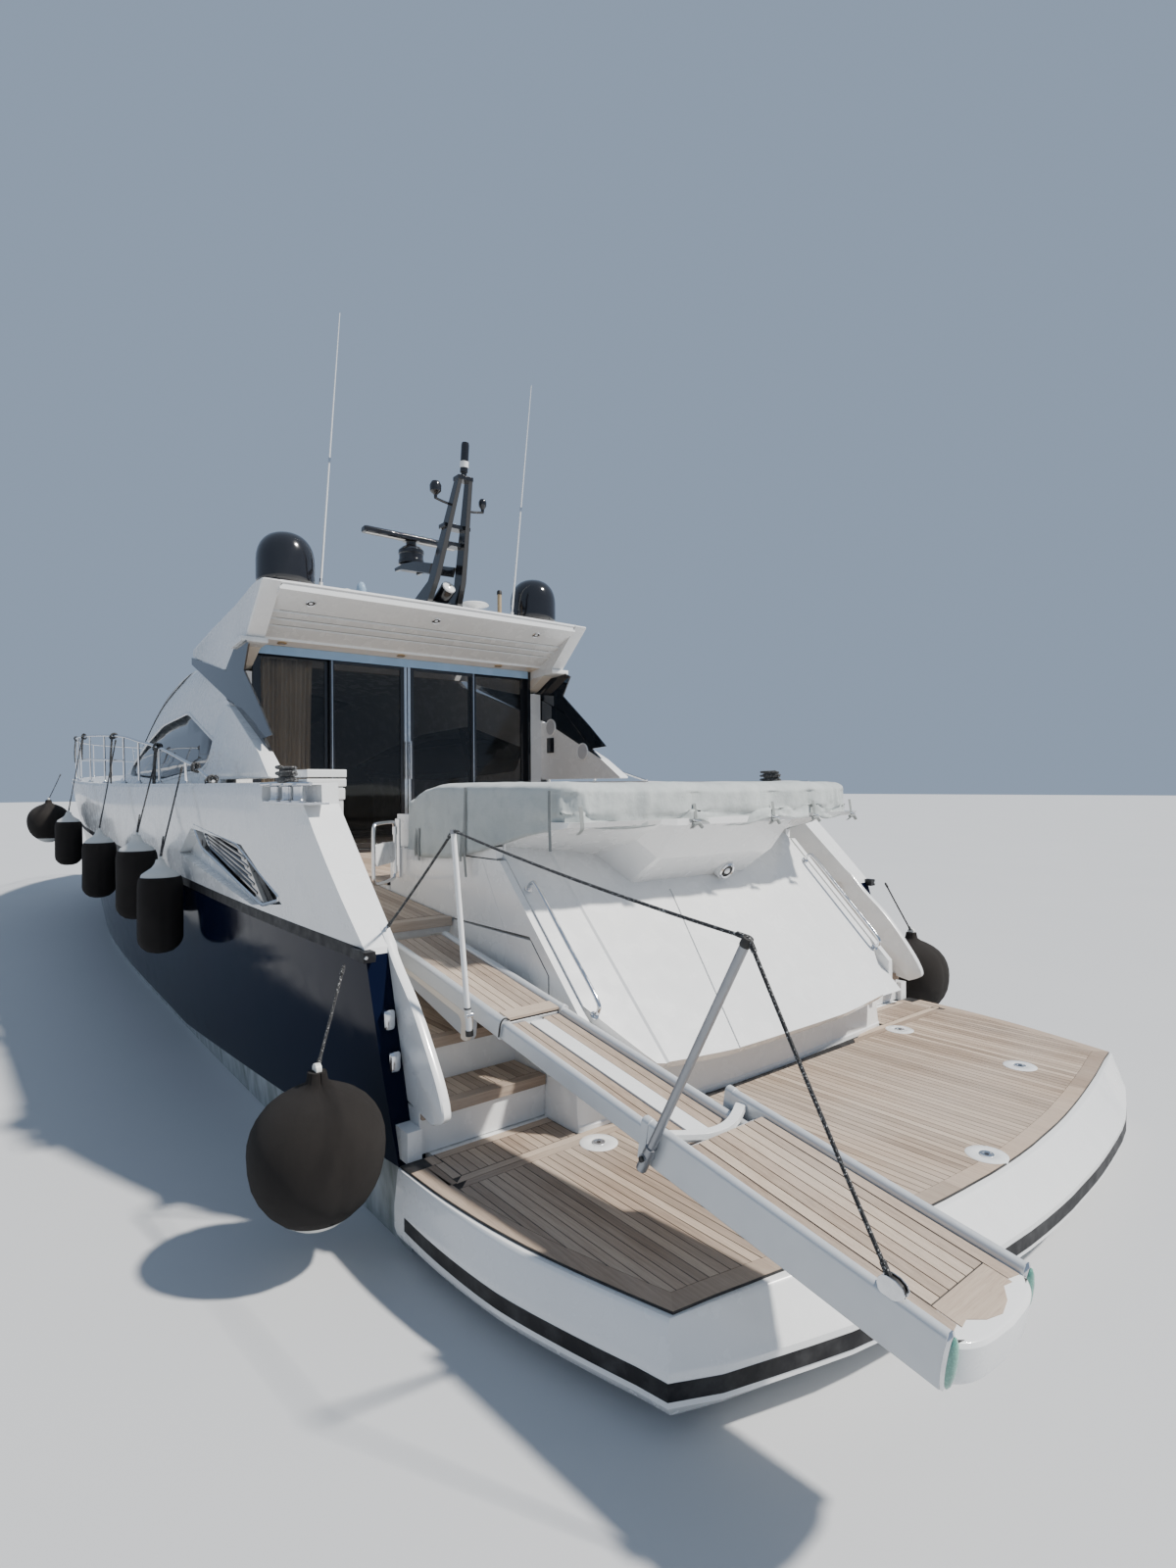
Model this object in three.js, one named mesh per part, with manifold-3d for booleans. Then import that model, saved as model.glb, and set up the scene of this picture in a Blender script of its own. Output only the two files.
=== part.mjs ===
// Motor yacht afloat: hull, stern platform, garage lid, folding boarding bridge, cabin, hardtop and gear.
// Millimetres, +X towards the bow, +Y to port, +Z up, with the waterline at z = 0 and the origin amidships.
import * as THREE from "three";
import { mergeVertices } from "three/addons/utils/BufferGeometryUtils.js";
import Module from "manifold-3d";

const wasm = await Module();
wasm.setup();

// Driving dimensions. Every x below is measured from the platform's forward deck plates, MIDSHIP aft of
// the origin.
const MIDSHIP = 9700;
const GAP = 0.5;
const SOLE_Z = 1650; // top of the cockpit's teak, level with the cabin floor
const TEAK = 30;
const SLAB_Z = 1492; // underside of the cockpit and cabin floor
const PLATFORM_Z = 470; // top of the platform's teak
const PASSAGE_Y = 2300; // inner face of the quarter walls
const CABIN_Y = 1950; // inner face of the cabin sides
const QUARTER_X = 3300; // where passage gives way to the side decks
const DOOR_X = 5410;
const SALOON_END = 11900;
const BAY_Y = 1480; // half width of the garage
const BAY_END = 2500;
const BAY_FLOOR = 800;
const WELL_IN = 1545; // inner and outer faces of the stair wells beside the garage
const WELL_OUT = 2360;
const HULL_START = 450;
const LOCKER = { aft: 3350, ahead: 3980, inner: 1620, outer: 1940, top: 2560 };
const PORT = 1;
const STARBOARD = -1;
const SIDES = [["port", PORT], ["starboard", STARBOARD]];

// Hull lines, one station a row.
const HULL = [
  // x, deckY, deckZ, kneeY, kneeZ, chineY, chineZ, keelZ
  [HULL_START, 2480, 2430, 2480, 1470, 2420, -60, -900],
  [3000, 2570, 2440, 2550, 1500, 2430, -60, -950],
  [6000, 2610, 2450, 2580, 1570, 2410, -60, -950],
  [10000, 2620, 2480, 2580, 1690, 2330, -40, -950],
  [13000, 2590, 2540, 2480, 1780, 2130, 60, -930],
  [15000, 2430, 2590, 2230, 1830, 1780, 200, -850],
  [17000, 2060, 2640, 1780, 1890, 1260, 430, -620],
  [19000, 1380, 2700, 1050, 1950, 600, 820, -50],
  [20300, 720, 2740, 330, 1985, 90, 1420, 1290],
  [20680, 400, 2752, 14, 1995, 8, 1960, 1940],
];
const STEM_TIP = [21100, 25, 2762, 10, 2690];

// Cabin lines: half section from the deck up to the centre of the roof.
const CABIN = [
  // x, baseY, baseZ, shoulderY, shoulderZ, edgeY, edgeZ, roofZ
  [DOOR_X, 2110, 2447, 1960, 3640, 1760, 4080, 4260],
  [7400, 2110, 2462, 1940, 3640, 1720, 4080, 4285],
  [9500, 2090, 2478, 1890, 3520, 1640, 3980, 4180],
  [11300, 2030, 2510, 1760, 3240, 1480, 3760, 3960],
  [13300, 1860, 2560, 1520, 2900, 1240, 3200, 3360],
  [15000, 1540, 2600, 1260, 2700, 980, 2810, 2870],
  [16200, 1180, 2632, 980, 2660, 760, 2690, 2700],
];
const SHELL = 60; // cabin side and roof as one panel
const SIDE_TOP = [[4160, 2730], [5240, 3230], [7150, 3900]]; // upper edge of the cabin side, in x and z
const WING_LOW = [[4370, 2885], [4900, 3350], [5600, 3650], [7150, 3990]]; // lower edge of the hardtop's wing
const SIDE_WINDOW = [
  [5660, 2870], [7300, 3330], [8840, 3280], [10100, 3100], [11570, 2800], [11300, 2600], [8460, 2500],
  [6100, 2620],
];

// Boarding bridge, in its own frame: x runs aft from the pivot as negative values.
const BRIDGE = {
  x: 1490, y: 1850, z: 1416, tilt: 9.4, inner: 1350, half: 217, mid: 2800, tip: 3824,
  outerHalf: 265, start: 2490, wall: 36,
};
// The port passage falls from the cockpit to the head of its stairs.
const RAMP = { aft: 1620, ahead: 3290, z: 1500, under: 1392 };

const paint = (color, roughness = 0.4, metalness = 0) =>
  new THREE.MeshStandardMaterial({ color, roughness, metalness });
const NAVY = paint("#10141f", 0.12);
const WHITE = paint("#eceeec", 0.25);
const TEAK_WOOD = paint("#a08a76", 0.75);
const BLACK = paint("#101013", 0.2);
const RUBBER = paint("#1c1d20", 0.6);
const STEEL = paint("#c8ccd0", 0.2, 1);
const GLASS = paint("#20262c", 0.05);
const FABRIC = paint("#c9cfca", 0.85);
const ALLOY = paint("#d5d9dc", 0.45, 0.3);
const BRONZE = paint("#a07a48", 0.35, 1);
const LEATHER = paint("#d8cbb5", 0.7);
const COVER = paint("#26221f", 0.9);

// A closed triangle mesh as a solid, turned inside out if its faces pointed inwards.
function solid(source) {
  const plain = (source.index ? source.toNonIndexed() : source.clone());
  plain.deleteAttribute("normal");
  plain.deleteAttribute("uv");
  const merged = mergeVertices(plain, 1e-3);
  const build = (triVerts) =>
    new wasm.Manifold(new wasm.Mesh({ numProp: 3, vertProperties: merged.attributes.position.array,
      triVerts }));
  const triangles = new Uint32Array(merged.index.array);
  const made = build(triangles);
  return made.volume() > 0 ? made : build(triangles.reverse());
}

function surface(made) {
  const mesh = made.getMesh();
  const shape = new THREE.BufferGeometry();
  shape.setAttribute("position", new THREE.BufferAttribute(new Float32Array(mesh.vertProperties), 3));
  shape.setIndex(new THREE.BufferAttribute(new Uint32Array(mesh.triVerts), 1));
  const flat = shape.toNonIndexed();
  flat.computeVertexNormals();
  return flat;
}

const join = (...parts) => parts.reduce((sum, one) => sum.add(one));
const mirrored = (made) => solid(surface(made).scale(1, -1, 1));

// A solid between rings of [x, y, z] points with the same count, its ends closed flat.
function loft(rings, across = [1, 2]) {
  const count = rings[0].length;
  const index = [];
  for (let r = 0; r + 1 < rings.length; r++)
    for (let i = 0; i < count; i++) {
      const [a, b] = [r * count + i, r * count + ((i + 1) % count)];
      index.push(a, b, b + count, a, b + count, a + count);
    }
  const last = (rings.length - 1) * count;
  for (const [a, b, c] of endFaces(rings[0], across)) index.push(c, b, a);
  for (const [a, b, c] of endFaces(rings[rings.length - 1], across)) index.push(a + last, b + last, c + last);
  const shape = new THREE.BufferGeometry();
  shape.setAttribute("position", new THREE.Float32BufferAttribute(rings.flat(2), 3));
  shape.setIndex(index);
  return solid(shape);
}

// Triangles across a ring, wound the way the ring runs.
function endFaces(ring, across) {
  const flat = ring.map((p) => new THREE.Vector2(p[across[0]], p[across[1]]));
  const clockwise = THREE.ShapeUtils.isClockWise(flat);
  return THREE.ShapeUtils.triangulateShape(flat.slice(), [])
    .map((face) => (THREE.ShapeUtils.isClockWise(face.map((i) => flat[i])) === clockwise ? face : face.reverse()));
}

// A polygon of [x, z] points carried along Y, of [x, y] points along Z, or of [y, z] points along X.
const slabY = (outline, y0, y1) => loft([y0, y1].map((y) => outline.map(([x, z]) => [x, y, z])), [0, 2]);
const slabZ = (outline, z0, z1) => loft([z0, z1].map((z) => outline.map(([x, y]) => [x, y, z])), [0, 1]);
const slabX = (outline, x0, x1) => loft([x0, x1].map((x) => outline.map(([y, z]) => [x, y, z])), [1, 2]);

function block(x0, x1, y0, y1, z0, z1) {
  const shape = new THREE.BoxGeometry(Math.abs(x1 - x0), Math.abs(y1 - y0), Math.abs(z1 - z0));
  return solid(shape.translate((x0 + x1) / 2, (y0 + y1) / 2, (z0 + z1) / 2));
}

// A round bar between two points.
function bar(from, to, radius, sides = 8, radiusTo = radius) {
  const [a, b] = [new THREE.Vector3(...from), new THREE.Vector3(...to)];
  const shape = new THREE.CylinderGeometry(radiusTo, radius, a.distanceTo(b), sides);
  const turn = new THREE.Quaternion().setFromUnitVectors(
    new THREE.Vector3(0, 1, 0), b.clone().sub(a).normalize());
  return solid(shape.applyQuaternion(turn).translate(...a.add(b).multiplyScalar(0.5).toArray()));
}

// A round tube along a smooth curve through the points.
function tube(points, radius, steps, sides = 8) {
  const path = new THREE.CatmullRomCurve3(points.map((p) => new THREE.Vector3(...p)), false, "centripetal");
  const round = new THREE.Shape(Array.from({ length: sides }, (_, i) => {
    const turn = (i / sides) * 2 * Math.PI;
    return new THREE.Vector2(radius * Math.cos(turn), radius * Math.sin(turn));
  }));
  return solid(new THREE.ExtrudeGeometry(round, { steps, bevelEnabled: false, extrudePath: path }));
}

// A turned form about the vertical: a profile of [radius, z] from axis to axis.
function turned(profile, x, y, z, segments = 20) {
  const shape = new THREE.LatheGeometry(profile.map(([r, h]) => new THREE.Vector2(r, h)), segments);
  return solid(shape.rotateX(Math.PI / 2).translate(x, y, z));
}

const boat = new THREE.Group();
boat.position.x = -MIDSHIP;

function add(name, made, material, parent = boat) {
  const mesh = new THREE.Mesh(surface(made), material);
  mesh.name = name;
  parent.add(mesh);
}

// Value of one column of a table of stations at x.
function at(table, x, column) {
  const next = Math.max(1, table.findIndex((row) => row[0] >= x));
  const [a, b] = [table[next - 1], table[next]];
  return a[column] + ((b[column] - a[column]) * (x - a[0])) / (b[0] - a[0]);
}

// Lower hull: keel, chine and knuckle at each station, decked flat at the knuckle.
function lowerHull() {
  return loft(HULL.map(([x, , , kneeY, kneeZ, chineY, chineZ, keelZ]) => [
    [x, 0, keelZ], [x, chineY, chineZ], [x, kneeY, kneeZ], [x, -kneeY, kneeZ], [x, -chineY, chineZ],
  ]));
}

// Topsides from the knuckle to the deck edge, with a cambered deck.
function topsides(start) {
  const camber = 40;
  const first = [start, ...[1, 2, 3, 4].map((column) => at(HULL, start, column))];
  const rows = [first, ...HULL.filter(([x]) => x > start), STEM_TIP];
  return loft(rows.map(([x, deckY, deckZ, kneeY, kneeZ]) => [
    [x, kneeY, kneeZ + 1], [x, deckY, deckZ], [x, 0, deckZ + camber], [x, -deckY, deckZ],
    [x, -kneeY, kneeZ + 1],
  ]));
}

function buildHull() {
  const bay = block(0, BAY_END, -BAY_Y, BAY_Y, BAY_FLOOR, 3000);
  const floor = block(0, SALOON_END, -CABIN_Y, CABIN_Y, SLAB_Z - 2, 3000);
  const passage = block(0, QUARTER_X, -PASSAGE_Y, PASSAGE_Y, SLAB_Z - 2, 3000);
  const underSlope = slabY([[0, 1290], [450, 1290], [650, 1493], [650, 3000], [0, 3000]], -WELL_IN, WELL_IN);
  let hull = lowerHull().subtract(bay).subtract(floor).subtract(passage).subtract(underSlope);
  for (const [, side] of SIDES)
    hull = hull.subtract(block(0, 2000, side * WELL_IN, side * WELL_OUT, PLATFORM_Z - 5, 3000));
  hull = hull.subtract(block(1990, QUARTER_X, WELL_IN, PASSAGE_Y, RAMP.under - 2, 3000));
  const aftSlope = slabY([[0, 300], [493, 300], [867, 1500], [900, 1800], [0, 1800]], -3000, 3000)
    .subtract(block(0, 1000, -WELL_OUT + 60, WELL_OUT - 60, 0, 3000));
  add("hull", hull.subtract(aftSlope), NAVY);
}

function buildTopsides() {
  const saloon = block(0, SALOON_END, -CABIN_Y - 1, CABIN_Y + 1, 0, 4000);
  add("foredeck", topsides(DOOR_X).subtract(saloon), WHITE);

  const passage = block(0, QUARTER_X, -PASSAGE_Y, PASSAGE_Y, 0, 4000);
  const slope = slabY([[-500, 0], [400, 0], [870, 1510], [1720, 2300], [1850, 4000], [-500, 4000]],
    -3000, 3000);
  const aft = topsides(HULL_START + GAP)
    .subtract(block(DOOR_X - 1, 25000, -3000, 3000, 0, 4000))
    .subtract(passage).subtract(saloon).subtract(slope);
  for (const [name, side] of SIDES) {
    const vent = slabY([[3040, 1990], [4440, 2110], [4120, 1900], [2460, 1560], [2120, 1640]],
      side * 2500, side * 2700);
    add("quarter_" + name, aft.intersect(block(0, 9000, 0, side * 3000, 0, 4000)).subtract(vent), WHITE);
  }
}

// Cockpit and cabin floor with the side passages and their steps, moulded as one.
function buildCockpit() {
  const top = SOLE_Z - TEAK - GAP;
  const [rampIn, rampOut] = [WELL_IN + 1, PASSAGE_Y - 1];
  const drop = SOLE_Z - top;
  const parts = [
    block(2600, SALOON_END - 1, -CABIN_Y + 1, CABIN_Y - 1, SLAB_Z, top)
      .subtract(block(2500, RAMP.ahead, rampIn, 3000, 1000, 3000)),
    block(2500 + GAP, 2605, -BAY_Y + 1, BAY_Y - 1, SLAB_Z, 1900), // bulkhead behind the garage
    slabY([[RAMP.aft, RAMP.under], [QUARTER_X - 1, RAMP.under], [QUARTER_X - 1, top], [RAMP.ahead, top],
      [RAMP.aft, RAMP.z - drop]], rampIn, rampOut),
    block(1650, 2700, -rampIn, -rampOut, SLAB_Z, top),
    block(1990, QUARTER_X - 1, -rampIn, -rampOut, SLAB_Z, top),
  ];
  const wallTop = { [PORT]: RAMP.under, [STARBOARD]: SLAB_Z };
  const treads = {
    // x of the front edge and height of each tread
    [PORT]: [[490, 700], [800, 950]],
    [STARBOARD]: [[490, 700], [780, 950], [1070, 1180], [1360, 1400]],
  };
  for (const [, side] of SIDES) {
    const [inner, outer] = [side * (WELL_IN + 1), side * (PASSAGE_Y - 1)];
    parts.push(block(1900, 1999, inner, side * (WELL_OUT - 1), PLATFORM_Z, wallTop[side] - 22));
    parts.push(block(1900, 1999, inner, outer, wallTop[side] - 90, wallTop[side] + 8));
    for (const [x, z] of treads[side]) {
      parts.push(block(x, 1905, inner, side * (WELL_OUT - 1), PLATFORM_Z, z));
    }
  }
  add("cockpit_moulding", join(...parts), WHITE);

  const { aft, ahead, inner, outer } = LOCKER;
  const wood = [
    [RAMP.ahead, 1555], [RAMP.ahead, outer], [aft - 5, outer], [aft - 5, inner - 5], [ahead + 5, inner - 5],
    [ahead + 5, outer], [5400, 1940], [5400, -1940], [3290, -1940], [3290, -2290],
    [1650, -2290], [1650, -1555], [2610, -1555], [2610, 1555],
  ];
  const ramp = slabY([[RAMP.aft, RAMP.z - TEAK], [RAMP.ahead + 1, SOLE_Z - TEAK], [RAMP.ahead + 1, SOLE_Z],
    [RAMP.aft, RAMP.z]], 1555, 2290);
  add("cockpit_teak", slabZ(wood, SOLE_Z - TEAK, SOLE_Z).add(ramp), TEAK_WOOD);
}

// Swim platform: a moulding with sloping edges, the sill below the garage on it, teak and a fender round it.
const PLATFORM = [
  // x and half width of the widest outline, then of the top outline
  [449, 2520, 449, 2500], [0, 2520, 0, 2485], [-450, 2470, -450, 2435], [-850, 2390, -850, 2345],
  [-1310, 2250, -1240, 2235], [-1520, 1500, -1390, 1500], [-1640, 800, -1490, 800], [-1695, 250, -1535, 250],
];
const around = (half) => [...half, ...half.map(([x, y]) => [x, -y]).reverse()];

function buildPlatform() {
  const wide = around(PLATFORM.map(([x, y]) => [x, y]));
  const top = around(PLATFORM.map(([, , x, y]) => [x, y]));
  const low = wide.map(([x, y]) => [x === 449 ? x : x * 0.88 + 20, y * 0.9]);
  const level = (outline, z) => outline.map(([x, y]) => [x, y, z]);
  const deckZ = PLATFORM_Z - 13;
  const body = loft([level(low, 60), level(wide, 170), level(wide, 290), level(top, deckZ)], [0, 1]);
  const sill = slabZ(around([[449, 1930], [300, 1800], [130, 1250], [100, 300]]), deckZ - 10, BAY_FLOOR);
  add("swim_platform", body.add(sill), WHITE);

  const margin = 0.975;
  const aftEdge = PLATFORM.map(([, , x, y]) => [x * margin, y * margin]).slice(1);
  const teak = around([[105, 1240], [310, 1870], [445, 1960], [445, 2440], ...aftEdge]);
  add("platform_teak", slabZ(teak, deckZ + GAP, PLATFORM_Z)
    .subtract(slabZ(around([[500, 1935], [298, 1805], [125, 1255], [95, 300]]), 0, 1000)), TEAK_WOOD);

  const ring = (grow) => around(PLATFORM.map(([x, y]) => {
    const length = Math.hypot(x - 600, y);
    return x === 449 ? [x, y + grow] : [x + ((x - 600) / length) * grow, y + (y / length) * grow];
  }));
  const band = slabZ(ring(32), 185, 270).subtract(slabZ(ring(0.6), 0, 1000));
  add("platform_rub_rail", band.subtract(block(300, 460, -3000, 3000, 0, 1000)), RUBBER);
}

// Rub rail along the knuckle from one quarter round the stem to the other.
function buildRubRail() {
  const side = HULL.map(([x, , , y, z]) => [x === HULL_START ? 880 : x, (x === HULL_START ? 2485 : y) + 14, z]);
  const rail = tube([...side, [20760, 0, 2010], ...side.map(([x, y, z]) => [x, -y, z]).reverse()], 34, 60, 6);
  add("rub_rail", rail.subtract(lowerHullGrown()), RUBBER);
}

// The whole hull a hair wider, to cut fittings back to its skin.
function lowerHullGrown() {
  const grow = 1.0;
  const lower = loft(HULL.map(([x, , , kneeY, kneeZ, chineY, chineZ, keelZ]) => [
    [x, 0, keelZ], [x, chineY + grow, chineZ], [x, kneeY + grow, kneeZ],
    [x, -kneeY - grow, kneeZ], [x, -chineY - grow, chineZ],
  ]));
  const upper = loft([...HULL, STEM_TIP].map(([x, deckY, deckZ, kneeY, kneeZ]) => [
    [x, kneeY + grow, kneeZ - 1], [x, deckY + grow, deckZ + 5], [x, -deckY - grow, deckZ + 5],
    [x, -kneeY - grow, kneeZ - 1],
  ]));
  return lower.add(upper);
}

// Fixed side walls of the garage, on which the lid's slope is cut.
function buildGarageWalls() {
  const wall = [[60, 802], [60, 1010], [980, 1930], [2590, 1930], [2590, 1492], [648, 1492], [449, 1290],
    [449, 802]];
  for (const [name, side] of SIDES) {
    add("garage_wall_" + name, slabY(wall, side * 1490, side * 1540), WHITE);
  }
}

// Garage lid: sloping panel and the sunbed base in one shell, with the covered sunbed and its rails on it.
function buildLid() {
  const profile = [
    [-130, 830], [980, 1940], [330, 2150], [330, 2190], [2590, 2190], [2590, 2010], [2540, 2010],
    [2540, 2120],
    [1140, 2120], [1100, 1976], [-88, 788],
  ];
  const panel = slabY(profile, -1480, 1480);
  const corner = (side) => slabX([[side * 1190, 700], [side * 1485, 700], [side * 1485, 1190],
    [side * 1190, 840]],
    -500, 400);
  add("garage_lid", panel.subtract(corner(PORT)).subtract(corner(STARBOARD)), WHITE);

  const bed = around([[2700, 1490], [500, 1500], [380, 1400], [300, 700]]);
  add("sunpad_cover", slabZ(bed, 2190 + GAP, 2410), FABRIC);
  for (const [name, side] of SIDES) {
    const run = [[150, 1115], [110, 1150], [140, 1215], [700, 1775], [765, 1800], [800, 1765]];
    const behind = slabY([[-131, 829], [981, 1941], [1100, 1900], [-80, 700]], -1600, 1600);
    const rail = tube(run.map(([x, z]) => [x, side * 1440, z]), 14, 24, 6);
    add("grab_rail_" + name, rail.subtract(slabY(profile, -1600, 1600)).subtract(behind), STEEL);
  }
}

// Cabin shell at a given depth inside its outer face.
function cabin(inset) {
  const lower = (z) => z - (inset > 0 ? 1 : 0);
  return loft(CABIN.map(([x, baseY, baseZ, shoulderY, shoulderZ, edgeY, edgeZ, roofZ]) => [
    [x, baseY - inset, lower(baseZ)], [x, shoulderY - inset, shoulderZ - inset / 3],
    [x, edgeY - inset * 0.7, edgeZ - inset * 0.7], [x, 0, roofZ - inset],
    [x, -edgeY + inset * 0.7, edgeZ - inset * 0.7], [x, -shoulderY + inset, shoulderZ - inset / 3],
    [x, -baseY + inset, lower(baseZ)],
  ]));
}

function buildCabin() {
  const open = slabY([[5000, 3120], ...SIDE_TOP.slice(1), [7202, 3990], [7202, 5000], [5000, 5000]],
    -3000, 3000);
  const inside = cabin(SHELL).intersect(block(DOOR_X - 10, 14200, -3000, 3000, 0, 5000));
  const under = topsides(5000).intersect(block(0, 30000, -3000, 3000, 0, 5000));
  const windscreen = slabZ([[10300, 1330], [13500, 1010], [13500, -1010], [10300, -1330]], 2750, 5000);
  const windows = SIDES.map(([, side]) => slabY(SIDE_WINDOW, side * 1200, side * 3000));
  let shell = cabin(0).subtract(inside).subtract(under.translate(0, 0, 1)).subtract(open);
  for (const cut of [windscreen, ...windows]) shell = shell.subtract(cut);
  const fin = slabY([[3780, 2492], [4160, 2728], [5240, 3228], [5600, 3352], [5600, 2510]], 1960, 2060);
  const jamb = block(DOOR_X + 1, DOOR_X + 61, 1788, CABIN_Y - 1, SOLE_Z - TEAK, 3640)
    .add(block(DOOR_X + 1, DOOR_X + 61, CABIN_Y - 10, 1975, 2520, 3285));
  shell = join(shell, fin, mirrored(fin), jamb, mirrored(jamb));
  add("superstructure", shell, WHITE);

  const pane = cabin(20).subtract(cabin(45));
  add("windscreen", pane.intersect(slabZ([[10302, 1328], [13498, 1008], [13498, -1008], [10302, -1328]],
    2750, 5000)),
    GLASS);
  const inner = SIDE_WINDOW.map(([x, z]) => [8400 + (x - 8400) * 0.9985, 2900 + (z - 2900) * 0.996]);
  for (const [name, side] of SIDES) {
    add("side_window_" + name, pane.intersect(slabY(inner, side * 1200, side * 3000)), GLASS);
    const quarter = [[4170, 2738], ...WING_LOW.map(([x, z]) => [x, z - 3]), [7150, 3904], [5240, 3233]];
    add("quarter_glass_" + name, slabY(quarter, side * 1962, side * 1992)
      .subtract(block(7149, 8000, -3000, 3000, 0, 5000)), GLASS);
  }
  const covered = slabY([[7600, 3640], [8340, 3620], [10430, 3400], [11600, 3050], [13700, 2780],
    [14200, 2900],
    [14200, 5000], [7600, 5000]], -3000, 3000).subtract(slabZ(around([[7000, 1500],
    [10200, 1400]]), 3500, 5000));
  add("windscreen_cover", cabin(-14).subtract(cabin(-2)).intersect(covered), FABRIC);
}

// Hardtop with the sloping soffit over the cockpit and a wing down each side.
function buildHardtop() {
  const rows = [
    // x, half width, underside, side height, half width of the top, top
    [4450, 1850, 4320, 4365, 1800, 4400],
    [5300, 1900, 3935, 4250, 1750, 4420],
    [7199, 1755, 3990, 4090, 1500, 4290],
  ];
  const roof = loft(rows.map(([x, half, low, shoulder, topHalf, top]) => [
    [x, -half, low], [x, half, low], [x, half, shoulder], [x, topHalf, top], [x, -topHalf, top],
    [x, -half, shoulder],
  ]));
  const underRoof = block(DOOR_X + 40, 7100, -1740, 1740, 3800, 4180);
  const wing = [[4420, 4400], [4770, 3910], [5600, 3652], [7199, 4003], [7199, 4080], [5300, 4300]];
  const blade = slabY(wing, 1790, 1970);
  add("hardtop", join(roof.subtract(underRoof), blade, mirrored(blade)), WHITE);
}

// Sliding door front: black frame, two fixed outer leaves and two inner leaves that slide apart behind them.
function buildDoors() {
  const [low, high, wide] = [SOLE_Z + GAP, 3930, 1786];
  const frame = block(DOOR_X, DOOR_X + 120, -wide, wide, low, high)
    .subtract(block(DOOR_X - 10, DOOR_X + 200, -wide + 40, wide - 40, low + 40, high - 60));
  add("door_frame", frame, BLACK);
  const [z0, z1] = [low + 41, high - 61];
  for (const [name, side] of SIDES) {
    add("door_fixed_" + name, block(DOOR_X + 70, DOOR_X + 100, side * 880, side * (wide - 41), z0, z1),
      GLASS);
    add("door_leaf_" + name, block(DOOR_X + 20, DOOR_X + 50, side * 4, side * 940, z0 + 6, z1 - 6), GLASS);
  }
}

// Domes, whip aerials, the mast with its scanner.
function buildRoofGear() {
  // radius and height, from the recessed base ring to the crown
  const dome = [[0, 0], [220, 0], [220, 60], [285, 90], [290, 330], [262, 450], [190, 545], [100, 590],
    [0, 605]];
  for (const [name, side] of SIDES) {
    add("dome_" + name, turned(dome, 5020, side * 1560, 4437, 24), BLACK);
    add("whip_" + name, join(bar([5000, side * 1210, 4424], [4480, side * 1180, 7220], 12, 6, 5),
      bar([5000, side * 1210, 4423], [4985, side * 1209, 4500], 30, 8)), WHITE);
  }
  const leg = (side) => slabY([[4380, 4424], [4700, 4424], [4180, 5680], [4060, 5680]],
    side * 150, side * 210);
  const arm = block(4240, 4330, -330, 330, 5380, 5440);
  const mast = join(
    leg(PORT), leg(STARBOARD), block(4360, 4740, -215, 215, 4423, 4455), arm,
    block(4060, 4180, -215, 215, 5640, 5685), block(4230, 4350, -215, 215, 5180, 5240),
    bar([4120, 0, 5680], [4010, 0, 5980], 22, 8), bar([4010, 0, 5975], [4010, 0, 6090], 42, 10),
    slabY([[4500, 4900], [4560, 4760], [5250, 4960], [5420, 4960], [5420, 5010], [5200, 5010]], -160, 160),
    bar([5300, 0, 5005], [5300, 0, 5265], 150, 16));
  add("radar_mast", mast, BLACK);
  const scanner = join(block(5240, 5360, -600, 600, 5300, 5390),
    bar([5300, 0, 5270], [5300, 0, 5310], 60, 12));
  add("radar_scanner", scanner, BLACK);
}

// Bow rail: top rail, middle rail and stanchions as one welded frame.
function buildBowRail() {
  const heights = [
    // x, height of the rail over the deck edge
    [3940, 20], [4490, 150], [6060, 390], [8220, 600], [10400, 720], [13000, 760], [20500, 740],
  ];
  const posts = [4900, 6060, 7200, 8220, 9800, 11400, 13000, 14600, 16200, 17800, 19300];
  const inset = 55;
  const point = (x, share = 1) => [x, at(HULL, x, 1) - inset, at(HULL, x, 2) + at(heights, x, 1) * share];
  const across = ([x, y, z]) => [x, -y, z];
  const bow = (x, y, z) => [[x, y, z], [x + 400, 0, z + 8], [x, -y, z]];
  const rail = (stops, share, nose, radius, steps) => {
    const side = stops.map((x) => point(x, share));
    return tube([...side, ...nose, ...side.map(across).reverse()], radius, steps, 6);
  };
  const frame = [
    rail([3940, 4490, ...posts], 1, bow(20500, 520, 3490), 16, 72),
    rail(posts.slice(3), 0.5, bow(20520, 480, 3115), 11, 52),
  ];
  for (const [, s] of SIDES) {
    for (const x of posts) {
      const [, y, z] = point(x);
      frame.push(bar([x + 60, s * (y - 20), at(HULL, x, 2) + 6], [x, s * y, z], 13, 6));
    }
    frame.push(bar([20480, s * 430, 2790], [20500, s * 520, 3490], 13, 6));
  }
  add("bow_rail", join(...frame), STEEL);
}

// Louvred air intake let into each quarter.
function buildVents() {
  const frame = [[3038, 1985], [4430, 2104], [4116, 1904], [2462, 1565], [2126, 1642]];
  const [back, plate, face] = [2505, 12, 2560]; // y of the back plate, its thickness, y of the slats' face
  for (const [name, side] of SIDES) {
    const slats = [0, 1, 2, 3, 4].map((i) => {
      const [aft, low, ahead, high] = [2700 + i * 30, 1700 + i * 62, 4250 + i * 10, 2000 + i * 15];
      return slabY([[aft, low], [ahead, high], [ahead, high + 12], [aft, low + 22]],
        side * (back + plate - 4), side * face);
    });
    const grille = join(slabY(frame, side * back, side * (back + plate)), ...slats);
    add("vent_" + name, grille.intersect(slabY(frame, side * 2400, side * 2700)), STEEL);
  }
}

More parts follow.
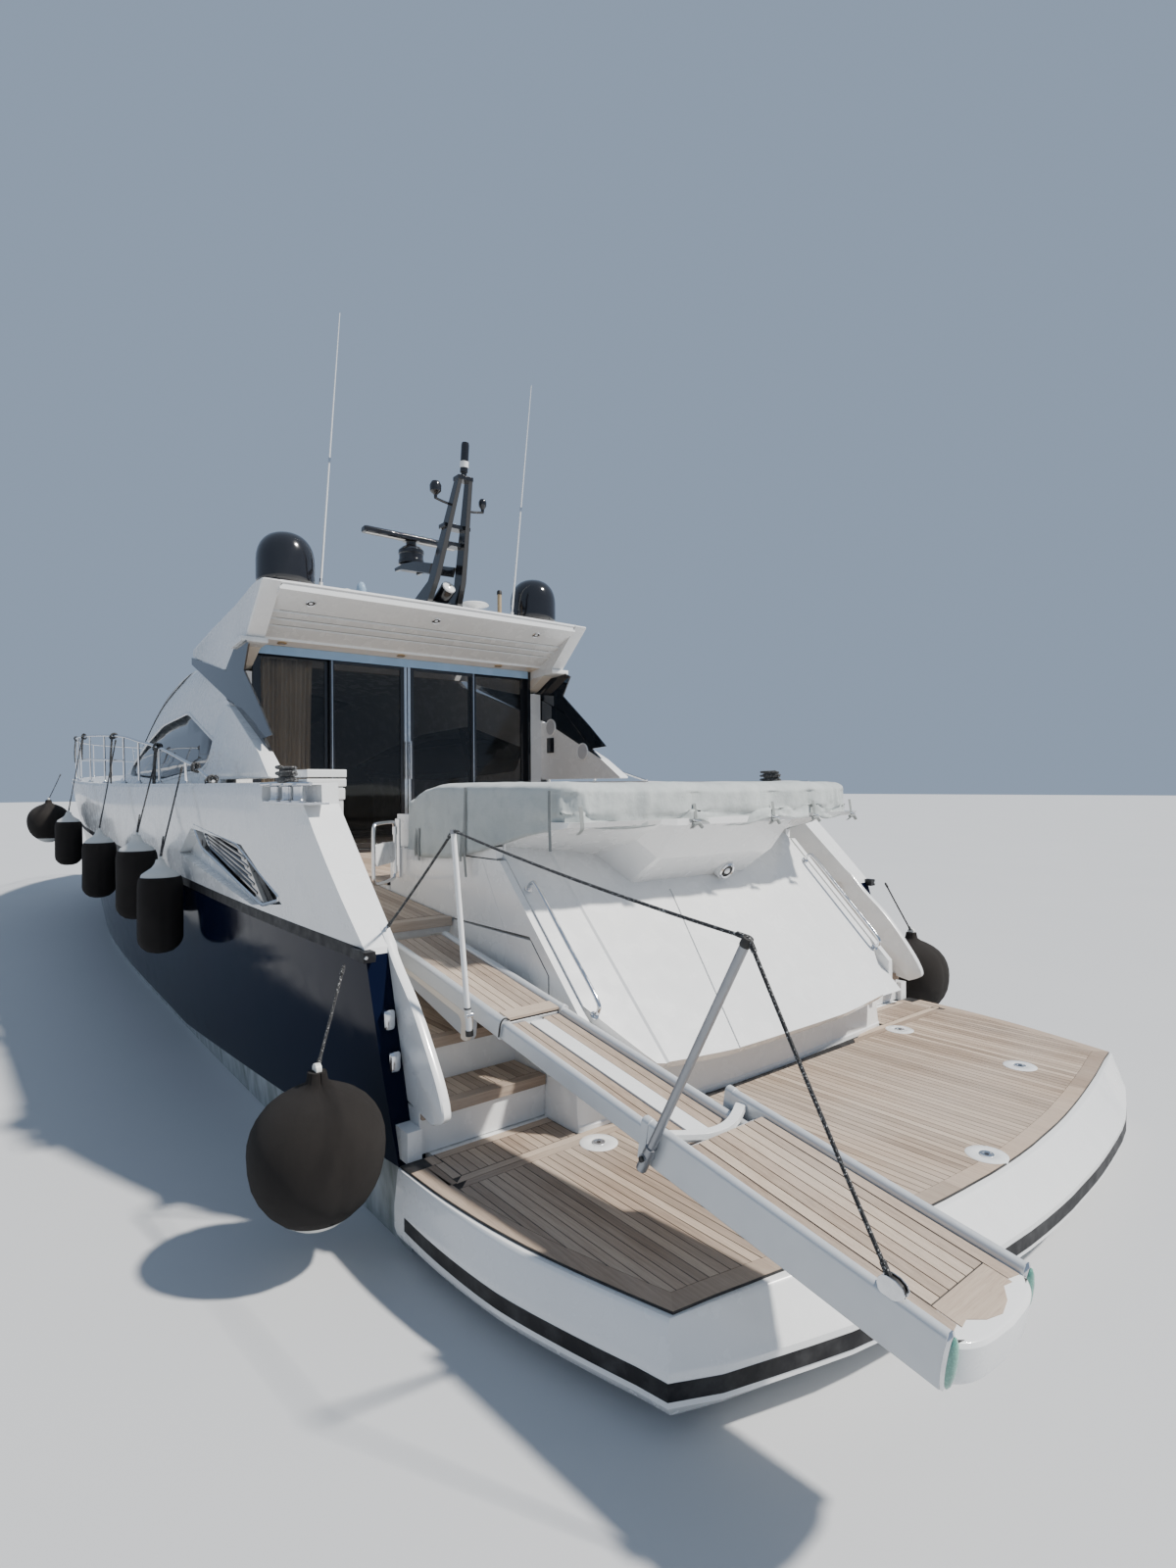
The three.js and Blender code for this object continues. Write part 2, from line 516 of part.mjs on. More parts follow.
function buildBowGear() {
  const plate = block(20640, 21080, -70, 70, 2812, 2832);
  const shank = bar([20700, 0, 2850], [21060, 0, 2850], 24, 8);
  const fluke = slabZ([[20760, 0], [21040, 150], [21090, 0], [21040, -150]], 2830, 2862);
  add("anchor", join(plate, shank, fluke), STEEL);
}

// What stands inside: a locker by the doors, and the cabin's sofa.
function buildFurniture() {
  const { aft, ahead, inner, outer, top } = LOCKER;
  const ribs = [180, 100, 20].map((drop) => block(aft - 20, ahead + 10, inner - 20, outer + 5, top - drop,
    top - drop + 50));
  add("cockpit_locker", join(block(aft, ahead, inner, outer, SOLE_Z - TEAK, top), ...ribs), WHITE);
  const seat = block(6200, 9000, 1150, 1900, SOLE_Z - 25, 2060);
  const back = block(6200, 9000, 1700, 1900, 2050, 2440);
  const end = block(8500, 9000, 300, 1200, SOLE_Z - 25, 2060);
  add("saloon_sofa", join(seat, back, end), LEATHER);
  add("helm_console", slabY([[10300, SOLE_Z - 25], [10300, 2500], [10900, 2760], [11300, 2760],
    [11300, SOLE_Z - 25]],
    -1700, -300), BLACK);
}

// Shafts, propellers and rudders under the run of the hull.
function buildRunningGear() {
  const [shaftY, propX, propZ] = [1000, 1250, -1010];
  for (const [name, side] of SIDES) {
    const y = side * shaftY;
    const underHull = block(-100, 6000, -3000, 3000, -2000, 200).subtract(lowerHull().translate(0, 0, -1));
    const shaft = join(bar([propX + 120, y, propZ + 10], [4600, y, -420], 36, 10),
      slabY([[1420, -300], [1620, -300], [1590, -990], [1430, -990]], y - 16, y + 16),
      bar([1400, y, propZ + 38], [1620, y, propZ + 64], 62, 10));
    add("shaft_" + name, shaft.intersect(underHull), BRONZE);

    const blades = Array.from({ length: 4 }, (_, i) => {
      const turn = (i * Math.PI) / 2;
      const pitch = 0.55 * side;
      const outline = [[-45, 30], [-120, 190], [-95, 320], [0, 360], [95, 320], [120, 190], [45, 30]];
      const plate = slabX(outline, -9, 9);
      const shape = surface(plate).rotateZ(pitch).rotateX(turn).translate(propX, y, propZ);
      return solid(shape);
    });
    const hub = bar([propX - 90, y, propZ], [propX + 90, y, propZ], 55, 14, 62);
    add("propeller_" + name, join(hub, ...blades), BRONZE);

    const blade = [[560, -680], [900, -640], [880, -1330], [640, -1350]];
    add("rudder_" + name, join(slabY(blade, y - 22, y + 22),
      bar([760, y, -690], [760, y, -580], 32, 10)), BRONZE);
  }
}

// Boarding bridge: inner frame on a pivot under the cockpit edge, outer frame sliding over it, stanchions.
function buildBridge() {
  const { half, inner, mid, tip, outerHalf, start, wall } = BRIDGE;
  const frame = new THREE.Group();
  frame.position.set(BRIDGE.x, BRIDGE.y, BRIDGE.z);
  frame.rotation.y = THREE.MathUtils.degToRad(-BRIDGE.tilt);
  boat.add(frame);
  const rails = (x0, x1, outside, z0, z1) =>
    join(block(x0, x1, outside - wall, outside, z0, z1), block(x0, x1, wall - outside, -outside, z0, z1));
  const core = join(rails(-inner, 0, half, -97, 6), rails(-mid, -inner + 6, half, -97, 0),
    block(-inner, 0, -half + 6, half - 6, -34, -7), block(-mid, -inner + 6, -half + 6, half - 6, -57, -34),
    bar([-46, -half, -51], [-46, half, -51], 41, 12), block(-1165, -1113, half - 6, half + wall, -68, -11));
  add("bridge_inner", core, ALLOY, frame);
  const outer = join(rails(-tip + 68, -start, outerHalf, -103, 68),
    block(-tip + 46, -start - 180, -outerHalf + 6, outerHalf - 6, 9, 30),
    slabZ(around([[-tip + 137, outerHalf], [-tip + 34, outerHalf - 68], [-tip, 68]]), -103, 30));
  add("bridge_outer", outer, ALLOY, frame);

  add("stanchion_inner", join(bar([366, 2126, 1100], [366, 2215, 2164], 16, 8),
    bar([366, 2109, 1190], [366, 2134, 1190], 18, 8)), STEEL);
  add("stanchion_outer", join(bar([-1010, 2149, 905], [-1540, 2149, 1868], 18, 8),
    bar([-1010, 2121, 940], [-1010, 2157, 940], 18, 8)), STEEL);
}

// Side gate of the passage, a bent tube with a white panel, standing partly open.
function buildGate() {
  const gate = new THREE.Group();
  gate.position.set(2410, 1575, 0);
  gate.rotation.z = THREE.MathUtils.degToRad(45);
  boat.add(gate);
  const [low, high, wide] = [1680, 2170, 440];
  const loop = tube([[0, 30, low + 40], [0, 45, low + 5], [0, 90, low], [0, wide - 60, low],
    [0, wide - 5, low + 20],
    [0, wide, low + 90], [0, wide, high - 90], [0, wide - 20, high - 10], [0, wide - 80, high], [0, 90, high],
    [0, 45, high - 5], [0, 30, high - 40]], 14, 36, 6);
  const post = bar([0, 30, low + 30], [0, 30, high - 30], 14, 8);
  const panel = block(-6, 6, 40, wide - 5, low + 130, high - 130);
  add("gate", join(loop, post, panel), STEEL, gate);
}

// Covered fenders hanging along the side, each with its lanyard up to the rail, and ball fenders.
function buildFenders() {
  const body = [[0, -10], [60, -10], [150, 40], [185, 110], [185, 620], [150, 700], [50, 760], [28, 830],
    [0, 830]];
  const rows = [
    // x, bottom, height of the lanyard's end over the deck edge
    [4640, 940, 200], [5700, 1110, 340], [8200, 1060, 600], [11600, 1210, 730],
  ];
  rows.forEach(([x, z, rise], i) => {
    const y = at(HULL, x, 1) + 215;
    const fender = turned(body, x, y, z, 16);
    const line = bar([x, y, z + 820], [x, at(HULL, x, 1) + 30, at(HULL, x, 2) + rise - 40], 8, 6);
    add("fender_" + (i + 1), fender.add(line), COVER);
  });
  const ball = [[0, 0], [80, 12], [220, 110], [318, 270], [330, 400], [300, 540], [200, 650], [70, 710],
    [45, 780], [0, 780]];
  const balls = [
    // name, x, side, y, bottom
    ["ball_fender_bow", 14100, PORT, 2880, 1430], ["ball_fender_port", 620, PORT, 2850, 215],
    ["ball_fender_starboard", 620, STARBOARD, 2850, 215],
  ];
  for (const [name, x, side, y, z] of balls) {
    const line = bar([x, side * y, z + 770], [x + 150, side * (y - 200), z + 1250], 8, 6);
    add(name, turned(ball, x, side * y, z, 18).add(line), COVER);
  }
}

buildHull();
buildTopsides();
buildCockpit();
buildPlatform();
buildRubRail();
buildGarageWalls();
buildLid();
buildCabin();
buildHardtop();
buildDoors();
buildRoofGear();
buildBowRail();
buildVents();
buildBowGear();
buildFurniture();
buildRunningGear();
buildBridge();
buildGate();
buildFenders();

export default boat;
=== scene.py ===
import math
import random

import bmesh
import bpy
from mathutils import Matrix, Vector, noise


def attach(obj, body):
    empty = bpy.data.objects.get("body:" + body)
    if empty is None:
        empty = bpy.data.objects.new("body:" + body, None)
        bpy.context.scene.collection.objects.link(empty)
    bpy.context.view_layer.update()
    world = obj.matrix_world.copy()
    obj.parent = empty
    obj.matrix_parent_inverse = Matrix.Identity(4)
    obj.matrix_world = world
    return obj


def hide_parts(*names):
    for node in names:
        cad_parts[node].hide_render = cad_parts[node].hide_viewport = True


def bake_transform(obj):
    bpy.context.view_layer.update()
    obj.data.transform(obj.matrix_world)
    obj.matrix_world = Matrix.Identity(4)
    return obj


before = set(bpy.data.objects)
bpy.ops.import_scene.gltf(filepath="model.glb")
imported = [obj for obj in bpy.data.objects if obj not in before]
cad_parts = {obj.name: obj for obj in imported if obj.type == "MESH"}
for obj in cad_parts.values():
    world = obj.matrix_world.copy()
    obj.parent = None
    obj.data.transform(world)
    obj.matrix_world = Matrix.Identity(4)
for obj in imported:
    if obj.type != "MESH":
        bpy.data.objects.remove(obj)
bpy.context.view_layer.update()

# Places are in metres as P(x, y, z): x forward of the platform's deck plates, y to port, z above the water.
MIDSHIP = 9.7
PORT, STARBOARD = 1, -1
SIDES = (("port", PORT), ("starboard", STARBOARD))
SOLE = 1.65
DECK = 0.47  # top of the platform's teak
BAY = 1.48  # half width of the garage
WELL_IN, WELL_OUT = 1.545, 2.36
PASSAGE = 2.3
CABIN_IN = 1.95
SALOON_END = 11.9
random.seed(7)


def P(x, y, z):
    return Vector((x - MIDSHIP, y, z))


# Shapes: each is a list of points and a list of faces.


def rings(rows, cyclic=True, ends=True):
    """A skin through rows of points with the same count, its ends closed flat."""
    count = len(rows[0])
    points = [Vector(p) for row in rows for p in row]
    faces = []
    for r in range(len(rows) - 1):
        for i in range(count if cyclic else count - 1):
            a, b = r * count + i, r * count + (i + 1) % count
            faces.append((a, b, b + count, a + count))
    if ends:
        faces.append(tuple(reversed(range(count))))
        faces.append(tuple(range(len(points) - count, len(points))))
    return points, faces


def prism(outline, axis, low, high):
    """A polygon carried along an axis: [x, z] points along y, [x, y] along z."""
    place = {"y": lambda p, v: P(p[0], v, p[1]), "z": lambda p, v: P(p[0], p[1], v)}[axis]
    return rings([[place(p, v) for p in outline] for v in (low, high)])


def rect(x0, x1, y0, y1):
    return [(x0, y0), (x1, y0), (x1, y1), (x0, y1)]


def slab(outline, low, high, place=P):
    """A polygon of (x, y) points with a lower and an upper face."""
    return rings([[place(x, y, z) for x, y in outline] for z in (low, high)])


def block(x0, x1, y0, y1, z0, z1):
    return slab(rect(x0, x1, y0, y1), z0, z1)


def frames_along(path):
    """Two directions across the path at each point, carried along it without twist."""
    ahead = [(path[min(i + 1, len(path) - 1)] - path[max(i - 1, 0)]).normalized() for i in range(len(path))]
    side = ahead[0].cross(Vector((0, 0, 1)))
    if side.length < 0.05:
        side = ahead[0].cross(Vector((1, 0, 0)))
    sides = []
    for t in ahead:
        side = (side - t * side.dot(t)).normalized()
        sides.append(side.copy())
    return [(s, t.cross(s)) for s, t in zip(sides, ahead)]


def sweep(path, section, cyclic=False):
    """Carries a section of (across, up) points along a path. It may be a function of the share along it."""
    path = [Vector(p) for p in path]
    rows = []
    for i, (p, (across, up)) in enumerate(zip(path, frames_along(path))):
        outline = section(i / (len(path) - 1)) if callable(section) else section
        rows.append([p + across * a + up * b for a, b in outline])
    return rings(rows + ([rows[0]] if cyclic else []), ends=not cyclic)


def circle(radius, sides=12, turn=0.0):
    steps = [2 * math.pi * i / sides + turn for i in range(sides)]
    return [(radius * math.cos(a), radius * math.sin(a)) for a in steps]


def tube(points, radius, sides=10, per=6, taper=None):
    path = smooth_path(points, per) if len(points) > 2 else [Vector(p) for p in points]
    if taper is None:
        return sweep(path, circle(radius, sides))
    return sweep(path, lambda share: circle(radius + (taper - radius) * share, sides))


def smooth_path(points, per=6, closed=False):
    """Points on a smooth curve through the given ones."""
    points = [Vector(p) for p in points]
    if closed:
        points = [points[-1]] + points + points[:2]
    else:
        points = [points[0] * 2 - points[1]] + points + [points[-1] * 2 - points[-2]]
    made = []
    for a, b, c, d in zip(points, points[1:], points[2:], points[3:]):
        for i in range(per):
            t = i / per
            made.append(0.5 * ((2 * b) + (c - a) * t + (2 * a - 5 * b + 4 * c - d) * t * t
                               + (3 * b - a - 3 * c + d) * t ** 3))
    if not closed:
        made.append(points[-2].copy())
    return made


def lathe(profile, centre, axis=(0, 0, 1), segments=32):
    """A profile of (radius, height) turned about an axis."""
    turn = Vector(axis).to_track_quat("Z", "Y").to_matrix()
    rows = [[Vector(centre) + turn @ Vector((max(r, 1e-4) * math.cos(a), max(r, 1e-4) * math.sin(a), h))
             for a in (2 * math.pi * i / segments for i in range(segments))] for r, h in profile]
    return rings(rows)


def disc(radius, low, high):
    """Profile of a plain cylinder, for lathe."""
    return [(0, low), (radius, low), (radius, high), (0, high)]


def washer(inner, outer, half):
    """Profile of a ring, for lathe."""
    return [(inner, -half), (outer, -half), (outer, half), (inner, half)]


def on_side(shape, side):
    """The shape made for the port side, on either side."""
    if side == PORT:
        return shape
    return [Vector((p[0], -p[1], p[2])) for p in shape[0]], [tuple(reversed(f)) for f in shape[1]]


def both_ways(half):
    """Points of the port side, then the same across the middle, in turn."""
    return half + [Vector((p.x, -p.y, p.z)) for p in reversed(half)]


def hermite(table, x, column):
    """Value of a column of a table of stations at x, on a smooth curve."""
    i = max(1, min(len(table) - 1, next((k for k, row in enumerate(table) if row[0] >= x), len(table) - 1)))
    at = lambda k: (table[k][0], table[k][column])
    def slope(k):
        a, b = at(max(k - 1, 0)), at(min(k + 1, len(table) - 1))
        return (b[1] - a[1]) / (b[0] - a[0])
    (x0, v0), (x1, v1) = at(i - 1), at(i)
    span = x1 - x0
    t = min(1.0, max(0.0, (x - x0) / span))
    return (v0 * (1 + 2 * t) * (1 - t) ** 2 + slope(i - 1) * span * t * (1 - t) ** 2
            + v1 * t * t * (3 - 2 * t) + slope(i) * span * t * t * (t - 1))


def linear(table, x, column=1):
    i = max(1, min(len(table) - 1, next((k for k, row in enumerate(table) if row[0] >= x), len(table) - 1)))
    a, b = table[i - 1], table[i]
    return a[column] + (b[column] - a[column]) * (x - a[0]) / (b[0] - a[0])


def stations(start, end, step):
    count = max(1, round((end - start) / step))
    return [start + (end - start) * i / count for i in range(count + 1)]


# Pieces.


class Piece:
    """One object of the boat, put together from closed shapes, each with its own finish."""

    def __init__(self, name, body="boat"):
        self.name, self.body = name, body
        self.points, self.faces, self.finishes, self.tones, self.skins = [], [], [], [], []

    def add(self, shape, finish, tone=0.5):
        if finish not in self.skins:
            self.skins.append(finish)
        start = len(self.points)
        self.points += [tuple(p) for p in shape[0]]
        self.faces += [tuple(i + start for i in f) for f in shape[1]]
        self.finishes += [self.skins.index(finish)] * len(shape[1])
        self.tones += [tone] * len(shape[1])
        return self

    def make(self, slot=None, sharp=35, bevel=0.0, stands_for=(), cuts=(), repaint=None):
        mesh = bpy.data.meshes.new(self.name)
        mesh.from_pydata(self.points, [], self.faces)
        for skin in self.skins:
            mesh.materials.append(skin)
        mesh.polygons.foreach_set("material_index", self.finishes)
        tone = mesh.attributes.new("tone", "FLOAT", "FACE")
        tone.data.foreach_set("value", self.tones)
        obj = bpy.data.objects.new(self.name, mesh)
        bpy.context.scene.collection.objects.link(obj)
        tidy(mesh)
        for cut in cuts:
            carve(obj, cut)
        if repaint:
            for face in obj.data.polygons:
                centre = face.center + Vector((MIDSHIP, 0, 0))
                face.material_index = repaint(centre, face.normal, face.material_index)
        obj.data.shade_smooth()
        obj.data.set_sharp_from_angle(angle=math.radians(sharp))
        if bevel:
            edge = obj.modifiers.new("edges", "BEVEL")
            edge.width, edge.segments, edge.limit_method = bevel, 2, "ANGLE"
            edge.angle_limit = math.radians(30)
            edge.harden_normals = True
        if self.body:
            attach(obj, self.body)
        if stands_for:
            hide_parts(*stands_for)
        return obj


def tidy(mesh):
    """Joins points that fall together and turns every face outwards."""
    work = bmesh.new()
    work.from_mesh(mesh)
    bmesh.ops.remove_doubles(work, verts=work.verts, dist=2e-5)
    bmesh.ops.recalc_face_normals(work, faces=work.faces)
    work.to_mesh(mesh)
    work.free()


def carve(obj, shape, operation="DIFFERENCE"):
    """Cuts a closed shape out of the object, or keeps only what lies in it."""
    mesh = bpy.data.meshes.new("cutter")
    mesh.from_pydata([tuple(p) for p in shape[0]], [], shape[1])
    tidy(mesh)
    cutter = bpy.data.objects.new("cutter", mesh)
    bpy.context.scene.collection.objects.link(cutter)
    change = obj.modifiers.new("carve", "BOOLEAN")
    change.object, change.operation, change.solver = cutter, operation, "EXACT"
    settle(obj)
    bpy.data.objects.remove(cutter)
    bpy.data.meshes.remove(mesh)


def settle(obj):
    """Makes what the modifiers give the object's own mesh."""
    graph = bpy.context.evaluated_depsgraph_get()
    made = bpy.data.meshes.new_from_object(obj.evaluated_get(graph))
    old = obj.data
    obj.modifiers.clear()
    obj.data = made
    bpy.data.meshes.remove(old)


# Finishes.


class Finish:
    """A material: its shader, and short ways to add texture to it."""

    def __init__(self, name, colour, roughness, metallic=0.0, **sockets):
        self.material = bpy.data.materials.new(name)
        self.material.use_nodes = True
        self.tree = self.material.node_tree
        self.shader = self.tree.nodes["Principled BSDF"]
        self.set(self.shader, {"Base Color": (*colour, 1), "Roughness": roughness, "Metallic": metallic})
        self.set(self.shader, {k.replace("_", " "): v for k, v in sockets.items()})
        self.place = self.tree.nodes.new("ShaderNodeTexCoord").outputs["Object"]

    def set(self, node, values):
        for key, value in values.items():
            if isinstance(value, bpy.types.NodeSocket):
                self.tree.links.new(value, node.inputs[key])
            else:
                node.inputs[key].default_value = value

    def node(self, kind, values=(), **settings):
        made = self.tree.nodes.new("ShaderNode" + kind)
        for key, value in settings.items():
            setattr(made, key, value)
        self.set(made, dict(values))
        return made

    def stretched(self, scale):
        return self.node("Mapping", {"Vector": self.place, "Scale": scale}).outputs[0]

    def noise(self, scale, detail=4.0, rough=0.55, stretch=None):
        where = self.stretched(stretch) if stretch else self.place
        return self.node("TexNoise", {"Vector": where, "Scale": scale, "Detail": detail,
                                      "Roughness": rough}).outputs["Fac"]

    def wave(self, scale, direction, distort):
        values = {"Vector": self.place, "Scale": scale, "Distortion": distort, "Detail": 2.0}
        return self.node("TexWave", values, bands_direction=direction).outputs["Fac"]

    def spread(self, fac, low, high, low_at=0.3, high_at=0.7):
        """A value moved onto the range low to high."""
        values = {"Value": fac, "From Min": low_at, "From Max": high_at, "To Min": low, "To Max": high}
        return self.node("MapRange", values).outputs[0]

    def blend(self, fac, first, second):
        made = self.node("Mix", data_type="RGBA", blend_type="MIX")
        colours = [c if isinstance(c, bpy.types.NodeSocket) else (*c, 1) for c in (first, second)]
        self.set(made, {0: fac, 6: colours[0], 7: colours[1]})
        return made.outputs[2]

    def math(self, operation, a, b=0.0):
        return self.node("Math", {0: a, 1: b}, operation=operation).outputs[0]

    def paint(self, colour=None, roughness=None):
        if colour is not None:
            self.set(self.shader, {"Base Color": colour})
        if roughness is not None:
            self.set(self.shader, {"Roughness": roughness})
        return self

    def bump(self, height, distance, strength=1.0):
        """Raises the surface by height; more than one may be stacked."""
        values = {"Height": height, "Distance": distance, "Strength": strength}
        before = self.shader.inputs["Normal"]
        if before.links:
            values["Normal"] = before.links[0].from_socket
        self.set(self.shader, {"Normal": self.node("Bump", values).outputs[0]})
        return self


def gelcoat(name, colour, shade, rough=(0.16, 0.34)):
    """Polished moulding with faint fairing waves, fine dust and rain streaks."""
    made = Finish(name, colour, rough[0], Coat_Weight=0.5, Coat_Roughness=0.06)
    clouds = made.spread(made.noise(0.9, 5), 0.0, 0.22)
    streaks = made.spread(made.noise(5.0, 4, stretch=(1.0, 1.0, 0.12)), 0.0, 0.2, 0.5, 0.8)
    dust = made.spread(made.noise(60.0, 3), 0.0, 0.12, 0.55, 0.85)
    worn = made.math("ADD", made.math("ADD", clouds, streaks), dust)
    made.paint(made.blend(worn, colour, shade), made.spread(made.noise(7.0, 5), *rough))
    return made.bump(made.noise(1.1, 1), 0.0004).bump(made.noise(240.0, 2), 0.00001)


BOOT_START, BOOT_FALL, BOOT_LOWEST, BOOT_TOP = 1.95, -0.078, -0.27, 0.31


def navy_gelcoat():
    """Dark topsides over a grey boot stripe, whose upper edge falls towards the bow, with a wet salt line."""
    deep, haze, boot = (0.0028, 0.005, 0.017), (0.008, 0.012, 0.026), (0.42, 0.44, 0.44)
    made = Finish("navy_gelcoat", deep, 0.07, Specular_IOR_Level=0.06)
    parts = made.node("SeparateXYZ", {"Vector": made.place})
    fall = made.math("MULTIPLY", made.math("ADD", parts.outputs[0], MIDSHIP - BOOT_START), BOOT_FALL)
    edge = made.math("ADD", made.math("MAXIMUM", fall, BOOT_LOWEST), BOOT_TOP)
    below = made.math("LESS_THAN", parts.outputs[2], edge)
    streaks = made.spread(made.noise(4.0, 5, stretch=(1, 1, 0.15)), 0.0, 0.45, 0.5, 0.8)
    hull = made.blend(streaks, deep, haze)
    scum = made.spread(made.noise(9.0, 6, stretch=(1, 1, 0.35)), 0.0, 1.0, 0.35, 0.7)
    paint = made.blend(scum, boot, (0.2, 0.22, 0.2))
    made.paint(made.blend(below, hull, paint), made.spread(made.noise(6.0, 5), 0.05, 0.16))
    return made.bump(made.noise(1.1, 1), 0.0005)


def teak(name, along):
    """Weathered planks: the tone is each plank's own, the grain runs along it."""
    stretch = {"x": (1.0, 22.0, 22.0), "y": (22.0, 1.0, 22.0)}[along]
    made = Finish(name, (0.3, 0.22, 0.17), 0.75, Specular_IOR_Level=0.3)
    tone = made.node("Attribute", attribute_name="tone").outputs["Fac"]
    grain = made.noise(3.2, 8, 0.65, stretch)
    fine = made.noise(16.0, 4, 0.6, stretch)
    mixed = made.math("ADD", made.math("MULTIPLY", tone, 0.38), made.math("MULTIPLY", grain, 0.62))
    wood = made.node("ValToRGB", {"Fac": mixed})
    ramp = wood.color_ramp
    ramp.elements[0].position, ramp.elements[0].color = 0.2, (0.19, 0.137, 0.100, 1)
    ramp.elements[1].position, ramp.elements[1].color = 0.85, (0.60, 0.485, 0.375, 1)
    middle = ramp.elements.new(0.5)
    middle.color = (0.39, 0.295, 0.222, 1)
    grey = made.spread(made.noise(1.1, 4), 0.0, 0.6, 0.4, 0.75)
    silver = made.blend(grey, wood.outputs["Color"], (0.46, 0.40, 0.34))
    pores = made.spread(fine, 0.0, 0.55, 0.55, 0.8)
    made.paint(made.blend(pores, silver, (0.16, 0.125, 0.1)), made.spread(grain, 0.6, 0.85))
    return made.bump(fine, 0.0006).bump(grain, 0.0012)


def metal(name, colour, rough):
    """Polished or brushed metal with fine scratches and water marks."""
    made = Finish(name, colour, rough[0], 1.0)
    marks = made.spread(made.noise(30.0, 5), 0.0, 0.5, 0.45, 0.8)
    worn = made.blend(marks, colour, tuple(c * 0.72 for c in colour))
    made.paint(worn, made.spread(made.noise(18.0, 4), *rough))
    return made.bump(made.noise(900.0, 2, stretch=(0.05, 1, 1)), 0.00004)


def moulded(name, colour, rough=(0.35, 0.55), metallic=0.0, texture=380.0, depth=0.0002, **sockets):
    """Plastic, rubber or powder coating with a fine grain and dust in patches."""
    made = Finish(name, colour, rough[0], metallic, **sockets)
    lighter = tuple(c + (0.5 - c) * 0.09 for c in colour)
    dust = made.spread(made.noise(9.0, 6), 0.0, 0.8, 0.45, 0.75)
    made.paint(made.blend(dust, colour, lighter), made.spread(made.noise(14.0, 4), *rough))
    return made.bump(made.noise(texture, 3), depth)


def cloth(name, colour, shade, threads, depth, crease=0.004, **sockets):
    """Woven fabric: two crossed thread directions, soft stains and creases."""
    made = Finish(name, colour, 0.85, **{"Sheen_Weight": 0.25, "Specular_IOR_Level": 0.25, **sockets})
    warp, weft, rise = (made.wave(threads, direction, 0.6) for direction in "XYZ")
    weave = made.math("MULTIPLY", made.math("ADD", made.math("ADD", warp, weft), rise), 0.33)
    stains = made.spread(made.noise(1.7, 6), 0.0, 0.8, 0.38, 0.75)
    dirt = made.spread(made.noise(7.0, 6), 0.0, 0.45, 0.5, 0.8)
    colours = made.blend(dirt, made.blend(stains, colour, shade), tuple(c * 0.7 for c in shade))
    made.paint(made.blend(made.spread(weave, 0.0, 0.3, 0.2, 0.8), colours, tuple(c * 0.8 for c in shade)))
    return made.bump(weave, depth).bump(made.noise(9.0, 6, 0.6), crease).bump(made.noise(45.0, 3), 0.0012)


def window_glass(name, tint, alpha, **sockets):
    facts = {"Alpha": alpha, "IOR": 1.5, "Specular_IOR_Level": 1.0, "Coat_Weight": 1.0,
             "Coat_Roughness": 0.01}
    made = Finish(name, tint, 0.02, **{**facts, **sockets})
    smears = made.spread(made.noise(4.0, 6), 0.0, 0.4, 0.5, 0.8)
    made.paint(made.blend(smears, tint, tuple(c * 1.6 + 0.01 for c in tint)),
               made.spread(made.noise(6.0, 5), 0.015, 0.07))
    return made.bump(made.noise(0.7, 2), 0.0012)


def lens(name, colour, emission=0.0):
    made = Finish(name, colour, 0.08, Coat_Weight=1.0, IOR=1.49, Emission_Color=(*colour, 1),
                  Emission_Strength=emission)
    facets = made.node("TexVoronoi", {"Vector": made.place, "Scale": 130.0}).outputs["Distance"]
    made.paint(made.blend(made.spread(facets, 0.0, 0.6, 0.0, 0.6), colour, tuple(c * 0.5 for c in colour)))
    return made.bump(facets, 0.0008)


def rope_look(name, colour, fleck, share):
    """Braided line with a fleck in the braid."""
    made = Finish(name, colour, 0.8, Sheen_Weight=0.2)
    braid = made.node("TexVoronoi", {"Vector": made.place, "Scale": 190.0}).outputs["Distance"]
    dots = made.spread(made.noise(150.0, 1), 0.0, 1.0, share, share + 0.04)
    made.paint(made.blend(dots, colour, fleck))
    return made.bump(braid, 0.0012)


WHITE = gelcoat("white_gelcoat", (0.80, 0.808, 0.805), (0.66, 0.665, 0.655)).material
NAVY = navy_gelcoat().material
TEAK_X = teak("teak_fore_and_aft", "x").material
TEAK_Y = teak("teak_athwart", "y").material
CAULK = moulded("caulking", (0.012, 0.011, 0.011), (0.5, 0.7)).material
BLACK = gelcoat("black_gloss", (0.006, 0.006, 0.008), (0.03, 0.03, 0.034), (0.07, 0.2)).material
RUBBER = moulded("rub_rail_rubber", (0.008, 0.008, 0.010), (0.45, 0.6), Specular_IOR_Level=0.25).material
STEEL = metal("stainless", (0.72, 0.73, 0.75), (0.08, 0.22)).material
ALLOY = moulded("painted_alloy", (0.60, 0.62, 0.635), (0.3, 0.45), 0.35).material
GREY_TUBE = moulded("anodised_tube", (0.30, 0.31, 0.33), (0.3, 0.5), 0.8).material
BRONZE = metal("bronze", (0.42, 0.27, 0.12), (0.25, 0.45)).material
TINT = window_glass("tinted_glass", (0.006, 0.006, 0.006), 0.36, Coat_Weight=0.25,
                    Specular_IOR_Level=0.7).material
SIDE_GLASS = window_glass("side_glass", (0.006, 0.009, 0.014), 0.94, Coat_Weight=0.4).material
BLUE_GLASS = window_glass("fanlight_glass", (0.30, 0.47, 0.68), 0.96).material
COVER = cloth("cover_canvas", (0.56, 0.60, 0.585), (0.40, 0.435, 0.43), 260.0, 0.0006, crease=0.010).material
SCREEN_COVER = cloth("screen_cover_mesh", (0.36, 0.375, 0.385), (0.27, 0.28, 0.29), 320.0, 0.0006).material
